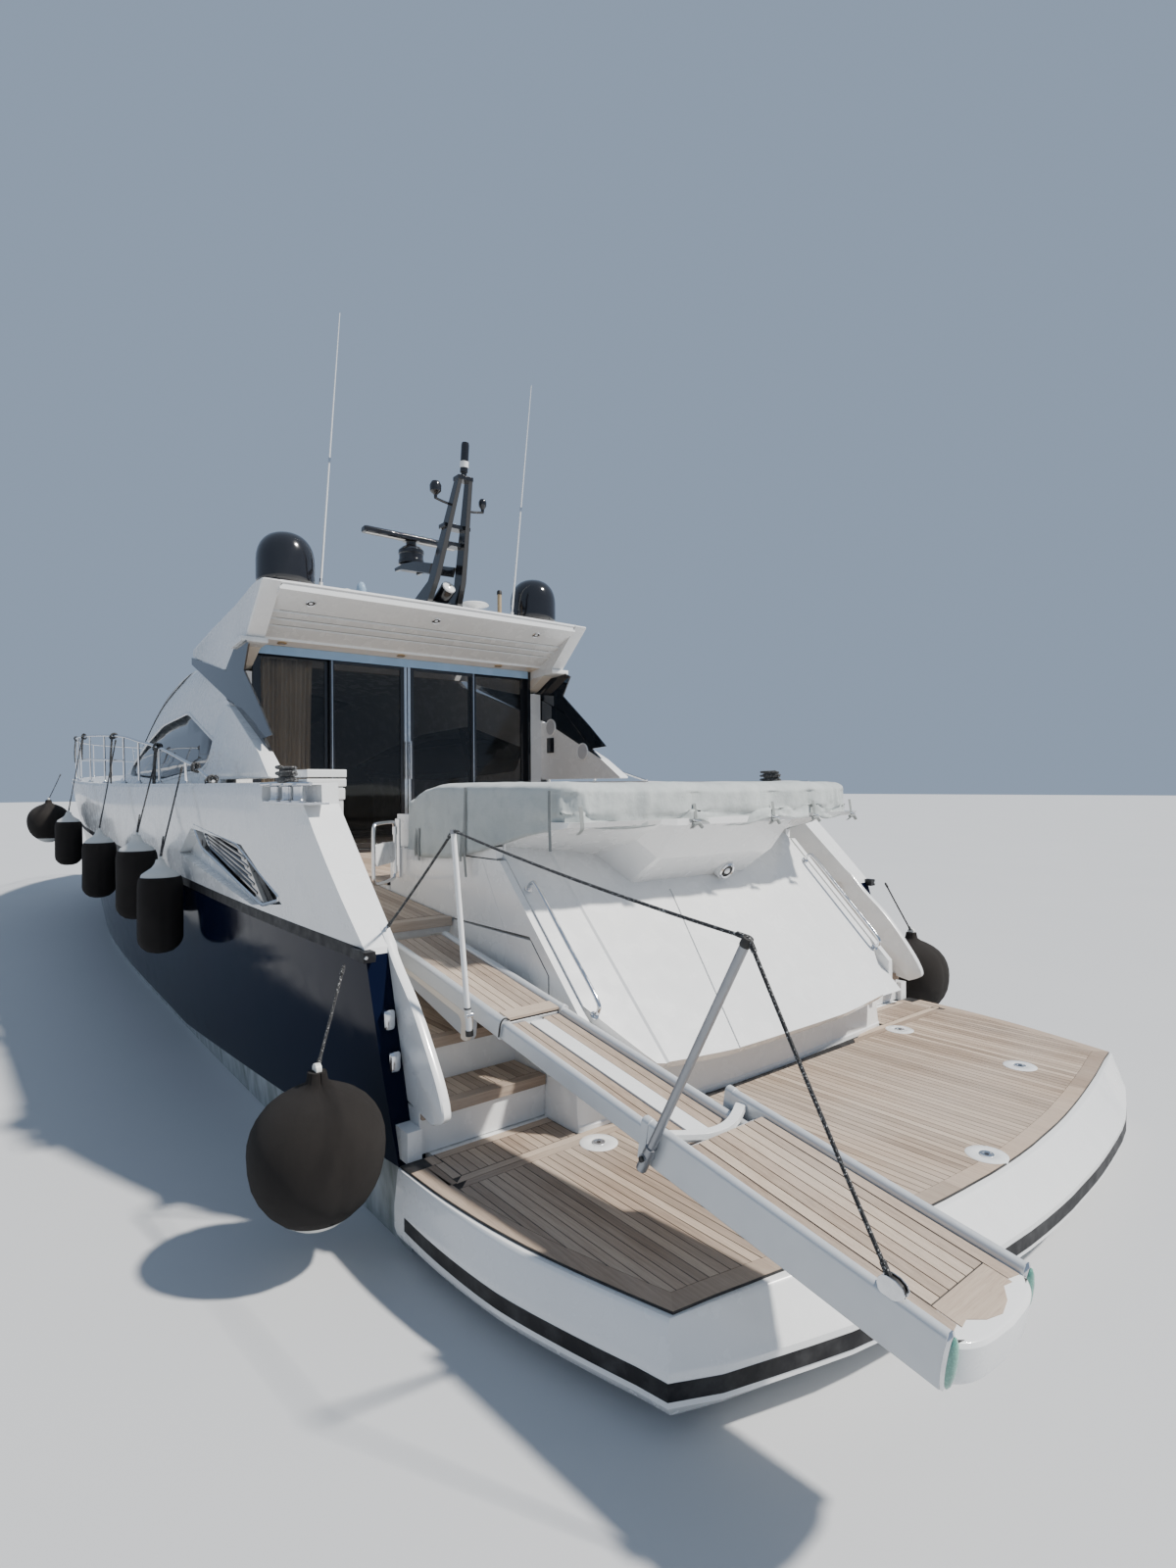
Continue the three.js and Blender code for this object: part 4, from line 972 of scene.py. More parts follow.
def make_garage_sides():
    wall = [(0.06, 0.802), (0.06, 1.01), (0.98, 1.93), (2.59, 1.93), (2.59, 1.492), (0.648, 1.492),
            (0.449, 1.29), (0.449, 0.802)]
    toe = [(-0.045, 0.80), (0.405, 1.25), (0.425, 1.25), (-0.025, 0.80)]
    seams = [((1.20, 1.94), (0.93, 1.50)), ((0.93, 1.50), (0.795, 1.25)), ((0.93, 1.50), (2.6, 1.56))]
    for name, side in SIDES:
        sides = Piece("garage_side_" + name).add(prism(wall, "y", side * 1.49, side * 1.54), WHITE)
        sides.add(prism(toe, "y", side * 1.17, side * 1.4898), WHITE)
        grooves = []
        for (x0, z0), (x1, z1) in seams:
            half = Vector((x1 - x0, z1 - z0)).normalized() * 0.0016
            outline = [(x0 - half.y, z0 + half.x), (x1 - half.y, z1 + half.x), (x1 + half.y, z1 - half.x),
                       (x0 + half.y, z0 - half.x)]
            grooves.append(prism(outline, "y", side * 1.5385, side * 1.56))
        sides.make("white_gelcoat", bevel=0.003, stands_for=["garage_wall_" + name], cuts=grooves)


COVER_PLAN = [  # half outline of the bed from the forward middle to the aft middle
    (2.68, 0.0), (2.68, 0.8), (2.67, 1.24), (2.58, 1.36), (2.42, 1.45), (2.2, 1.53), (1.9, 1.556),
    (1.2, 1.556), (0.62, 1.505), (0.46, 1.465), (0.385, 1.38), (0.35, 1.20), (0.325, 0.8), (0.315, 0.0),
]
HEM = [  # x along the side and height of the hem
    (0.30, 2.175), (0.38, 2.178), (0.73, 2.125), (1.10, 2.03), (1.40, 1.965), (1.66, 1.930), (2.08, 1.922),
    (2.18, 1.948), (2.56, 1.960), (2.70, 1.99),
]
CREST = [(0.30, 2.425), (0.42, 2.462), (1.1, 2.470), (1.82, 2.468), (2.04, 2.415), (2.26, 2.350),
         (2.70, 2.325)]
STRAPS = (1.40, 0.44, -0.38, -0.87, -1.36)  # y of the ties along the aft edge
SKIRT_SHARES = (0.0, 0.16, 0.33, 0.5, 0.67, 0.84, 0.95)  # from the hem up
TOP_SHARES = (  # from the edge inwards
    0.0, 0.01, 0.028, 0.055, 0.09, 0.14, 0.2, 0.27, 0.35, 0.44, 0.54, 0.65, 0.77, 0.89, 1.0,
)


def skirt_rows(plan):
    """The cover's skirt, which flares a little towards its hem."""
    count = len(plan)
    rows = []
    for share in SKIRT_SHARES:
        row = []
        for i, (x, y) in enumerate(plan):
            before, after = plan[i - 1], plan[(i + 1) % count]
            out = Vector((after[1] - before[1], before[0] - after[0])).normalized()
            out = -out if out.dot(Vector((x - 1.5, y))) < 0 else out
            hem, crest = linear(HEM, x), linear(CREST, x)
            if x < 0.6:
                hem -= 0.022 * math.sin(3.1 * (y + 1.5)) ** 2
            drop = crest - 0.035
            grow = 0.012 * (1 - share)
            row.append(P(x + out.x * grow, y + out.y * grow, hem + (drop - hem) * share))
        rows.append(row)
    return rows


def top_rows(plan):
    """The cover's top, rolled over at its edge and sagging between the cushions' crests."""
    rows = []
    for share in TOP_SHARES:
        rise = 0.035 * (1 - min(1.0, share / 0.055)) ** 2
        sag = 0.012 * math.sin(min(1.0, share * 2) * math.pi / 2)
        row = []
        for x, y in plan:
            middle = min(max(x, 1.35), 1.75)
            px, py = x + (middle - x) * share, y - y * share
            row.append(P(px, py, linear(CREST, px) - rise - sag))
        rows.append(row)
    return rows


def cover_hold(p):
    """How firmly a point stays: tied at the straps, lying on the cushions, loose at the skirt."""
    x = p.x + MIDSHIP
    if p.z < 2.26 and x < 0.6 and any(abs(p.y - y) < 0.05 for y in STRAPS):
        return 1.0
    return 0.12 if p.z > 2.38 and x < 1.9 else 0.05


def make_cover():
    """A fitted cover over the sunbed: a flat top over cushions, and a skirt drawn in by straps."""
    half = smooth_line(COVER_PLAN, 9)
    plan = half + [(x, -y) for x, y in reversed(half[1:-1])]
    shape = rings(skirt_rows(plan) + top_rows(plan), ends=False)
    cover = Piece("sunbed_cover", "garage_lid").add(shape, COVER)
    obj = cover.make("cover_fabric", sharp=70, stands_for=["sunpad_cover"])
    finer = obj.modifiers.new("finer", "SUBSURF")
    finer.levels = finer.render_levels = 1
    settle(obj)
    settle_cloth(obj, cover_hold, slack=0.035, frames=18, cap=0.035)
    crumple(obj)
    half_edge = obj.modifiers.new("cloth_thickness", "SOLIDIFY")
    half_edge.thickness, half_edge.offset = 0.0016, 0


def crumple(obj):
    """Small pulls and puckers: folds run up the skirt, soft dents lie across the top."""
    ridge = lambda v: (1 - min(1.0, 1.6 * abs(noise.noise(v)))) ** 3
    for vertex in obj.data.vertices:
        p, n = vertex.co, vertex.normal
        around = Vector((p.x * 5.0 + p.y * 4.0, p.y * 5.0 - p.x * 3.0, p.z * 1.3))
        side = min(1.0, max(0.0, (2.41 - p.z) / 0.05))
        folds = noise.fractal(around, 0.9, 2.2, 4) * side
        broad = ridge(Vector((p.x * 4.5, p.y * 4.5, p.z * 2.2 + p.y)))
        narrow = ridge(Vector((p.x * 9.0 + p.z * 3, p.y * 9.0, p.z * 2.5 + 7.0)))
        pleats = side * (broad + 0.6 * narrow)
        dents = noise.fractal(Vector((p.x * 1.7, p.y * 2.6, 3.1)), 0.8, 2.3, 4)
        rucks = (1 - side) * ridge(Vector((p.x * 1.9 + p.y, p.y * 3.1, 5.0)))
        near_straps = p.z < 2.36 and p.x + MIDSHIP < 0.8
        pull = sum(math.exp(-((p.y - y) / 0.05) ** 2) for y in STRAPS) if near_straps else 0.0
        vertex.co = p + n * (0.014 * folds + 0.010 * pleats + 0.010 * dents + 0.006 * rucks - 0.014 * pull)
    obj.data.update()


def settle_cloth(obj, hold, slack, frames, cap):
    """Lets cloth take its folds; hold gives how firmly each point stays, cap how far it may move."""
    start = [v.co.copy() for v in obj.data.vertices]
    group = obj.vertex_groups.new(name="hold")
    for vertex in obj.data.vertices:
        group.add([vertex.index], hold(vertex.co), "REPLACE")
    change = obj.modifiers.new("cloth", "CLOTH")
    facts = change.settings
    facts.quality = 5
    facts.mass = 0.35
    facts.tension_stiffness = facts.compression_stiffness = 18
    facts.shear_stiffness = 8
    facts.bending_stiffness = 0.6
    facts.vertex_group_mass = "hold"
    facts.pin_stiffness = 0.8
    facts.shrink_min = -slack
    change.collision_settings.use_collision = False
    change.point_cache.frame_start, change.point_cache.frame_end = 1, frames
    for at in range(1, frames + 1):
        bpy.context.scene.frame_set(at)
    settle(obj)
    for vertex, old in zip(obj.data.vertices, start):
        step = vertex.co - old
        if step.length > cap:
            vertex.co = old + step * (cap / step.length)
    obj.vertex_groups.clear()
    bpy.context.scene.frame_set(1)


SIDE_TIES = [  # x, y and height of points down each tie of the port side
    [(0.47, 1.515, 2.38), (0.46, 1.522, 2.20), (0.462, 1.516, 2.02)],
    [(1.34, 1.578, 2.40), (1.34, 1.590, 2.02), (1.33, 1.583, 1.80)],
    [(2.04, 1.566, 2.10), (2.04, 1.576, 1.98), (2.03, 1.571, 1.86)],
    [(2.09, 1.560, 2.10), (2.095, 1.571, 1.97), (2.10, 1.566, 1.89)],
    [(1.39, 1.580, 2.10), (1.38, 1.592, 1.99), (1.40, 1.584, 1.90)],
]


def make_straps():
    straps = Piece("cover_straps", "garage_lid")
    ahead, port = Vector((1, 0, 0)), Vector((0, 1, 0))
    runs = []
    for y in STRAPS:
        tie = [(0.318, y, 2.285), (0.306, y, 2.205), (0.300, y + 0.004, 2.150), (0.335, y + 0.008, 2.118)]
        runs.append((tie, port, -ahead))
    runs += [(tie, ahead, port) for tie in SIDE_TIES]
    flat = [(-0.014, -0.001), (0.014, -0.001), (0.014, 0.001), (-0.014, 0.001)]
    for tie, across, out in runs:
        path = smooth_path([P(*p) for p in tie], 5)
        straps.add(rings([[p + across * a + out * b for a, b in flat] for p in path]), WEBBING)
    for y in STRAPS[1:]:
        knot_path = [P(0.290, y - 0.046, 2.128), P(0.286, y - 0.01, 2.156), P(0.290, y + 0.040, 2.150)]
        straps.add(sweep(knot_path, circle(0.013, 8)), WEBBING)
        straps.add(sweep([P(0.290, y - 0.034, 2.166), P(0.290, y + 0.034, 2.178)], circle(0.007, 8)), STEEL)
    straps.make("cover_fabric")


# Gate of the side passage.


def make_gate():
    turn = Matrix.Translation(P(2.41, 1.575, 0)) @ Matrix.Rotation(math.radians(45), 4, "Z")
    at = lambda x, y, z: turn @ Vector((x, y, z))
    low, high, wide = 1.70, 2.14, 0.47
    loop = [(0.03, low + 0.09), (0.045, low + 0.02), (0.10, low), (wide - 0.08, low),
            (wide - 0.012, low + 0.025), (wide, low + 0.10), (wide, high - 0.10),
            (wide - 0.015, high - 0.02), (wide - 0.08, high), (0.10, high), (0.045, high - 0.02),
            (0.03, high - 0.09)]
    gate = Piece("gate_frame", "gate")
    ring = smooth_path([at(0, y, z) for y, z in loop], 6, closed=True)
    gate.add(sweep(ring, circle(0.0135, 12), cyclic=True), STEEL)
    corner = 0.035
    outline = []
    y0, y1, z0, z1 = 0.055 + corner, wide - 0.03 - corner, low + 0.13 + corner, high - 0.15 - corner
    for cy, cz, start in ((y1, z1, 0), (y0, z1, 90), (y0, z0, 180), (y1, z0, 270)):
        for step in range(5):
            a = math.radians(start + step * 22.5)
            outline.append((cy + corner * math.cos(a), cz + corner * math.sin(a)))
    gate.add(rings([[at(x, y, z) for y, z in outline] for x in (-0.006, 0.006)]), WHITE)
    for z in (low + 0.15, high - 0.17):
        for y0, y1 in ((0.03, 0.07), (wide - 0.05, wide)):
            gate.add(sweep([at(0, y0, z), at(0, y1, z)], circle(0.006, 8)), STEEL)
    for z in (low + 0.07, high - 0.07):
        gate.add(sweep([at(0, 0.03, z - 0.03), at(0, 0.03, z + 0.03)], circle(0.019, 12)), STEEL)
    gate.make("stainless", stands_for=["gate"])
    post = Piece("gate_hinge_post")
    post.add(block(2.40, 2.47, 1.5405, 1.556, 1.70, 2.16), STEEL)
    post.make("stainless", bevel=0.004)


# Boarding bridge.


BRIDGE_AT, BRIDGE_SIZE, BRIDGE_TILT = (1.49, 1.85, 1.416), 1.1415, math.radians(9.4)


def B(x, y, z):
    """A place on the bridge: x from its pivot, negative aft and down, y to port, z above its deck line."""
    x, y, z = (v * BRIDGE_SIZE for v in (x, y, z))
    slope, rise = math.cos(BRIDGE_TILT), math.sin(BRIDGE_TILT)
    return P(BRIDGE_AT[0] + x * slope - z * rise, BRIDGE_AT[1] + y, BRIDGE_AT[2] + x * rise + z * slope)


def box_rail(y, wide, low, high, x0, x1, side):
    """A box rail with a rounded top edge and slightly rounded bottom."""
    r = wide * 0.42
    turns = (math.radians(k * 22.5) for k in range(5))
    top = [(wide / 2 - r + r * math.cos(a), high - r + r * math.sin(a)) for a in turns]
    half = [(wide / 2 - 0.006, low), (wide / 2, low + 0.006)] + top
    outline = half + [(-a, b) for a, b in reversed(half)]
    return rings([[B(x, side * y + a, b) for a, b in outline] for x in (x0, x1)])


def bridge_planks(piece, outline, low, high, pitch):
    lay_planks(piece, outline, low, high, pitch=pitch, seam=0.004, place=B)


def bridge_plate(start, end, half, low, high):
    """A flat plate across the bridge, between two places along it."""
    return slab([(start, half), (end, half), (end, -half), (start, -half)], low, high, B)


def make_bridge_frame():
    inner = Piece("bridge_frame", "bridge")
    rails = [
        # y, width, lower and upper edge, far and near end
        (0.169, 0.046, -0.085, 0.008, -1.183, -0.002), (0.167, 0.042, -0.083, 0.001, -2.45, -1.181),
        (0.168, 0.050, -0.088, 0.012, -1.198, -1.173),
    ]
    belly = [(-0.12, -0.07), (-0.935, -0.07), (-0.935, -0.185), (-0.915, -0.212), (-0.88, -0.223)]
    plate = belly + [(-0.30, -0.178), (-0.14, -0.125)]
    brow = belly + [(-0.855, -0.221), (-0.855, -0.152), (-0.843, -0.128), (-0.815, -0.118), (-0.17, -0.108),
                    (-0.13, -0.105)]
    for side in (PORT, STARBOARD):
        for rail in rails:
            inner.add(box_rail(*rail, side), ALLOY)
        # The recessed plate takes the darker grey-blue as painted shade, and the brow round it takes the
        # beige liner.
        for y0, y1, part, skin in ((0.150, 0.172, plate, PAINTED_SHADE_RECESS), (0.1721, 0.190, brow, BEIGE)):
            inner.add(rings([[B(x, side * y, z) for x, z in part] for y in (y0, y1)]), skin)
    inner.add(bridge_plate(-0.01, -1.183, 0.146, -0.045, -0.018), ALLOY)
    inner.add(bridge_plate(-1.183, -2.44, 0.146, -0.055, -0.036), ALLOY)
    inner.add(bridge_plate(-1.213, -2.43, 0.042, -0.040, -0.022), WHITE)
    inner.add(sweep([B(-0.04, -0.19, -0.045), B(-0.04, 0.19, -0.045)], circle(0.036, 20)), STEEL)
    inner.make("alloy", sharp=40, bevel=0.002, stands_for=["bridge_inner"])


def make_bridge_teak():
    deck = Piece("bridge_teak", "bridge")
    deck.add(bridge_plate(-0.012, -1.181, 0.144, -0.0175, -0.008), CAULK)
    bridge_planks(deck, rect(-1.098, -0.012, -0.143, 0.143), -0.016, -0.0055, 0.048)
    deck.add(bridge_plate(-1.103, -1.181, 0.143, -0.016, 0.004), TEAK_Y, 0.8)
    for side in (PORT, STARBOARD):
        under = rect(-1.188, -2.42, side * 0.046, side * 0.143)
        strip = rect(-2.42, -1.188, side * 0.047, side * 0.142)
        deck.add(slab(under, -0.0355, -0.029, B), CAULK)
        bridge_planks(deck, strip, -0.034, -0.0265, 0.047)
    deck.make("teak", bevel=0.001)


def make_bridge_slide():
    outer = Piece("bridge_slide", "bridge_outer")
    for side in (PORT, STARBOARD):
        outer.add(box_rail(0.218, 0.038, -0.09, 0.062, -3.285, -2.196, side), ALLOY)
        outer.add(box_rail(0.219, 0.041, -0.092, 0.065, -2.216, -2.181, side), ALLOY)
    outer.add(bridge_plate(-2.342, -3.30, 0.199, 0.006, 0.016), ALLOY)
    arc = [B(-2.265 - 0.075 * math.cos(a * math.pi / 2), 0.199 * a, 0.024)
           for a in stations(-1.0, 1.0, 0.125)]
    bow = [(-0.022, -0.016), (0.022, -0.016), (0.024, 0.006), (0.014, 0.020), (-0.014, 0.020),
           (-0.024, 0.006)]
    outer.add(sweep(arc, bow), WHITE)
    tip = [(-3.225, 0.236)] + smooth_line([(-3.25, 0.234), (-3.30, 0.205), (-3.335, 0.13), (-3.347, 0.0)], 5)
    tip = tip + [(x, -y) for x, y in reversed(tip[:-1])]
    levels = ((-0.088, 0.016), (-0.080, 0.004), (-0.06, 0.0), (0.022, 0.0), (0.032, 0.006), (0.035, 0.014))
    outer.add(rings([[B(x + d, y * (1 - d / 0.3), z) for x, y in tip] for z, d in levels]), WHITE)
    outer.make("alloy", sharp=40, bevel=0.002, stands_for=["bridge_outer"])


def make_slide_teak():
    boards = Piece("bridge_slide_teak", "bridge_outer")
    x0, x1, end = -2.368, -3.20, -3.318
    low, high = 0.018, 0.0375
    under = [(x0, 0.196), (end + 0.02, 0.196), (end, 0.12), (end, -0.12), (end + 0.02, -0.196), (x0, -0.196)]
    boards.add(slab(under, 0.0165, 0.0345, B), CAULK)
    for side in (PORT, STARBOARD):
        edge = [(x0, 0.147), (end + 0.05, 0.147), (end + 0.04, 0.194), (x0, 0.194)]
        boards.add(slab([(x, side * y) for x, y in edge], low, high, B), TEAK_X, random.random())
    bridge_planks(boards, rect(x1 + 0.004, x0, -0.143, 0.143), low, high, 0.048)
    lip = [(x1, 0.143), (x1 - 0.08, 0.143)]
    lip += [(-3.200 - 0.118 * math.cos(a), 0.143 * a / 1.2) for a in (0.9, 0.5, 0.0)]
    lip = lip + [(x, -y) for x, y in reversed(lip[:-1])]
    boards.add(slab(lip, low, high, B), TEAK_Y, 0.7)
    boards.make("teak", bevel=0.001)


def make_bridge_lights():
    ends = Piece("bridge_lights", "bridge_outer")
    steps = ((1.0, 0.0), (1.0, 0.004), (0.8, 0.011), (0.4, 0.016), (0.05, 0.017))
    for side in (PORT, STARBOARD):
        for grow, x, skin in ((1.0, -3.285, STEEL), (0.86, -3.295, GREEN)):
            rows = []
            for share, out in steps:
                wide, tall = 0.024 * share * grow, 0.082 * share * grow
                rows.append([B(x - out, side * 0.218 + wide * a, -0.014 + tall * b)
                             for a, b in circle(1.0, 24)])
            ends.add(rings(rows), skin)
    ends.make("stainless", sharp=60)


def make_bridge_block():
    """The block that the hand line is made fast to, on its eye at the tip."""
    at = B(-3.12, 0.222, 0.075)
    pulley = Piece("bridge_block", "bridge_outer")
    cheek = [(x * (1.0 if x < 0 else 1.7), z) for x, z in circle(0.034, 12)]
    for y, skin, wide, size in ((-0.014, STEEL, 0.004, 1.0), (0.014, STEEL, 0.004, 1.0),
                                (0.0, CAULK, 0.016, 0.85)):
        rows = [[at + Vector((-x * size, y + d, z * size)) for x, z in cheek] for d in (-wide / 2, wide / 2)]
        pulley.add(rings(rows), skin)
    eye = [at + Vector(v) for v in ((0, 0, -0.02), (0, 0, -0.05), (0.0, -0.004, -0.075))]
    pulley.add(tube(eye, 0.006, 10), STEEL)
    pulley.make("stainless", bevel=0.0015)


def make_stanchions():
    stay = Piece("bridge_stanchion_inner", "bridge")
    foot, top = P(0.366, 2.126, 1.10), P(0.366, 2.215, 2.164)
    up = (top - foot).normalized()
    stay.add(tube([foot, top], 0.0150, 16), WHITE)
    stay.add(tube([top - up * 0.004, top + up * 0.018], 0.0175, 16), GREY_TUBE)
    stay.add(sweep([foot + up * 0.09 + Vector((0, d, 0)) for d in (-0.024, 0.012)], circle(0.018, 14)), STEEL)
    collars = ((-0.02, 0.125, 0.0175, ALLOY), (0.125, 0.132, 0.0190, CAULK), (-0.02, 0.010, 0.0215, CAULK))
    for low, high, radius, skin in collars:
        stay.add(sweep([foot + up * low, foot + up * high], circle(radius, 14)), skin)
    hook = [B(-1.20, 0.150, 0.004), B(-1.20, 0.178, 0.016), B(-1.198, 0.196, -0.01), B(-1.196, 0.198, -0.07)]
    stay.add(tube(hook, 0.0045, 8), CAULK)
    stay.make("stainless", stands_for=["stanchion_inner"])

    far = Piece("bridge_stanchion_outer", "bridge_outer")
    foot, top = P(-1.010, 2.149, 0.905), P(-1.540, 2.149, 1.868)
    up = (top - foot).normalized()
    far.add(tube([foot + up * 0.02, top], 0.0180, 16), GREY_TUBE)
    far.add(tube([top - up * 0.015, top + up * 0.020], 0.0205, 16), CAULK)
    far.add(tube([foot - up * 0.012, foot + up * 0.105], 0.0235, 14), GREY_TUBE)
    for y0, y1, radius, sides, skin in ((-0.030, 0.026, 0.0185, 14, GREY_TUBE),
                                        (0.020, 0.034, 0.012, 12, CAULK)):
        far.add(sweep([foot + up * 0.05 + Vector((0, d, 0)) for d in (y0, y1)], circle(radius, sides)), skin)
    far.make("stainless", stands_for=["stanchion_outer"])


def slack_line(a, b, sag, count=24):
    shares = (i / count for i in range(count + 1))
    return [a.lerp(b, t) - Vector((0, 0, sag * 4 * t * (1 - t))) for t in shares]


def lay_line(name, bodies, path):
    """A line made fast at both ends, between one body and the next if there are two."""
    line = Piece(name, None if len(bodies) > 1 else bodies[0])
    line.add(sweep(path, circle(0.0075, 8)), BLACK_ROPE)
    a, b = path[0], path[-1]
    for p, along in ((a, b - a), (b, a - b)):
        step = along.normalized() * 0.05
        line.add(sweep([p + step * 0.2, p + step], circle(0.011, 8)), BLACK_ROPE)
    obj = line.make("cover_fabric")
    if len(bodies) > 1:
        tuple(a)
        tuple(b)
        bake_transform(obj)
    return obj


def make_bridge_lines():
    eye, first, second = P(0.945, 2.325, 1.600), P(0.366, 2.215, 2.176), P(-1.551, 2.149, 1.884)
    runs = [
        # name, the bodies it runs between, its ends, how far it sags
        ("bridge_line_wing", ("boat", "bridge"), eye, first, 0.008),
        ("bridge_line_middle", ("bridge", "bridge_outer"), first, second, 0.02),
        ("bridge_line_tip", ("bridge_outer",), second, B(-3.12, 0.222, 0.09), 0.008),
    ]
    for name, bodies, a, b, sag in runs:
        lay_line(name, bodies, slack_line(a, b, sag))
    ring = [(0.009, -0.004), (0.024, -0.004), (0.026, 0.0), (0.024, 0.004), (0.009, 0.004)]
    Piece("quarter_line_eye").add(lathe(ring, eye, (0.5, 0.8, 0.2), 20), STEEL).make("stainless")


# Cabin.


CABIN = [
    # x, foot y, foot z, shoulder y, shoulder z, edge y, edge z, roof z
    (5.41, 2.11, 2.447, 1.96, 3.64, 1.76, 4.08, 4.26), (7.4, 2.11, 2.462, 1.94, 3.64, 1.72, 4.08, 4.285),
    (9.5, 2.09, 2.478, 1.89, 3.52, 1.64, 3.98, 4.18), (11.3, 2.03, 2.51, 1.76, 3.24, 1.48, 3.76, 3.96),
    (13.3, 1.86, 2.56, 1.52, 2.90, 1.24, 3.20, 3.36), (15.0, 1.54, 2.60, 1.26, 2.70, 0.98, 2.81, 2.87),
    (16.2, 1.18, 2.632, 0.98, 2.66, 0.76, 2.69, 2.70),
]
SIDE_WINDOW = [(5.66, 2.87), (7.30, 3.33), (8.84, 3.28), (10.10, 3.10), (11.57, 2.80), (11.30, 2.60),
               (8.46, 2.50), (6.10, 2.62)]
SHELL = 0.06


def rounded(outline, radius, steps=4):
    """A polygon with its corners rounded."""
    made = []
    count = len(outline)
    for i, corner in enumerate(outline):
        here = Vector(corner)
        before, after = Vector(outline[i - 1]), Vector(outline[(i + 1) % count])
        reach = min(radius, (before - here).length * 0.45, (after - here).length * 0.45)
        a, b = here + (before - here).normalized() * reach, here + (after - here).normalized() * reach
        for k in range(steps + 1):
            t = k / steps
            made.append(tuple(a * (1 - t) ** 2 + here * 2 * t * (1 - t) + b * t * t))
    return made


def cabin_half(x, inset=0.0):
    """Half section of the cabin from its foot to the middle of the roof, with rounded shoulders."""
    foot_y, foot_z, shoulder_y, shoulder_z, edge_y, edge_z, roof = (hermite(CABIN, x, c) for c in range(1, 8))
    foot = Vector((foot_y - inset, foot_z - (0.004 if inset > 0 else 0.0)))
    shoulder = Vector((shoulder_y - inset, shoulder_z - inset / 3))
    edge = Vector((edge_y - inset * 0.7, edge_z - inset * 0.7))
    top = Vector((0.0, roof - inset))
    made = [foot]
    for share in (0.25, 0.5, 0.75):
        made.append(foot.lerp(shoulder, share) + Vector((0.014 * math.sin(math.pi * share), 0)))
    for corner, before, after, reach in ((shoulder, foot, edge, 0.30), (edge, shoulder, top, 0.34)):
        a = corner + (before - corner) * min(0.4, reach / max(0.05, (before - corner).length))
        b = corner + (after - corner) * min(0.4, reach / max(0.05, (after - corner).length))
        made += [a * (1 - t) ** 2 + corner * 2 * t * (1 - t) + b * t * t for t in (0.0, 0.25, 0.5, 0.75, 1.0)]
    made += [Vector((edge.x * 0.45, edge.y + (top.y - edge.y) * 0.72)), top]
    return [(p.x, p.y) for p in made]


def cabin_solid(inset=0.0, start=5.41, end=16.2, step=0.35):
    return rings([whole_ring(x, cabin_half(x, inset)) for x in stations(start, end, step)])


def cabin_y(x, z, out=0.0):
    """How far out the cabin's side lies at a height."""
    half = cabin_half(x, -out)
    for (y0, z0), (y1, z1) in zip(half, half[1:]):
        if z0 <= z <= z1:
            return y0 + (y1 - y0) * (z - z0) / max(1e-6, z1 - z0)
    return half[0][0]


def make_cabin():
    opening = [(5.0, 3.12), (5.24, 3.23), (7.15, 3.90), (7.202, 3.99), (7.202, 5.0), (5.0, 5.0)]
    screen = [(10.3, 1.33), (13.5, 1.01), (13.5, -1.01), (10.3, -1.33)]
    shell = Piece("cabin_shell").add(cabin_solid(), WHITE)
    rows = []
    for x in stations(5.0, 16.6, 0.8):
        edge = hull(x, 2) - 0.004
        deck = ((-2.6, 0.0), (2.6, 0.0), (2.6, edge), (0, edge + CAMBER + 0.002), (-2.6, edge))
        rows.append([P(x, y, z) for y, z in deck])
    window = rounded(SIDE_WINDOW, 0.16)
    cuts = [cabin_solid(SHELL, 5.35, 14.2), rings(rows), prism(opening, "y", -3.0, 3.0),
            prism(rounded(screen, 0.12), "z", 2.75, 5.0), prism(window, "y", 1.2, 3.0),
            prism(window, "y", -3.0, -1.2)]
    shell.make("white_gelcoat", sharp=24, stands_for=["superstructure"], cuts=cuts)


FIN = [(3.78, 2.492), (4.16, 2.735), (4.70, 2.985), (5.24, 3.232), (5.44, 3.275), (5.66, 3.20), (5.76, 3.06),
       (5.86, 2.92), (5.98, 2.72), (6.10, 2.58), (6.02, 2.492)]


def make_fins():
    """The blades that run aft from the cabin's sides, and the posts beside the door."""
    fin = rounded(FIN, 0.05, 3)
    middle = Vector((5.0, 2.78))
    rows = []
    for grow, inset in ((1.0, None), (1.0, 0.022), (0.985, 0.004), (0.965, 0.0)):
        part = [middle + (Vector(p) - middle) * grow for p in fin]
        rows.append([P(p.x, 1.962 if inset is None else 2.118 - 0.085 * (p.y - 2.45) - inset, p.y)
                     for p in part])
    fins = Piece("cabin_fins")
    for side in (PORT, STARBOARD):
        fins.add(on_side(rings(rows), side), WHITE)
        fins.add(block(5.412, 5.47, side * 1.788, side * 1.948, SOLE - 0.03, 3.64), WHITE)
        fins.add(block(5.412, 5.47, side * 1.9485, side * 1.974, 2.52, 3.285), WHITE)
    fins.make("white_gelcoat", sharp=30)


def make_window_rims():
    rims = Piece("window_rims")
    bead = [(0.018, -0.006), (0.018, 0.006), (0.010, 0.013), (-0.010, 0.013), (-0.018, 0.006),
            (-0.018, -0.006)]
    for side in (PORT, STARBOARD):
        path = [P(x, side * (cabin_y(x, z) + 0.001), z) for x, z in rounded(SIDE_WINDOW, 0.16)]
        rims.add(ring_sweep(path, Vector((0, side, 0)), bead), WHITE)
    rims.make("white_gelcoat")


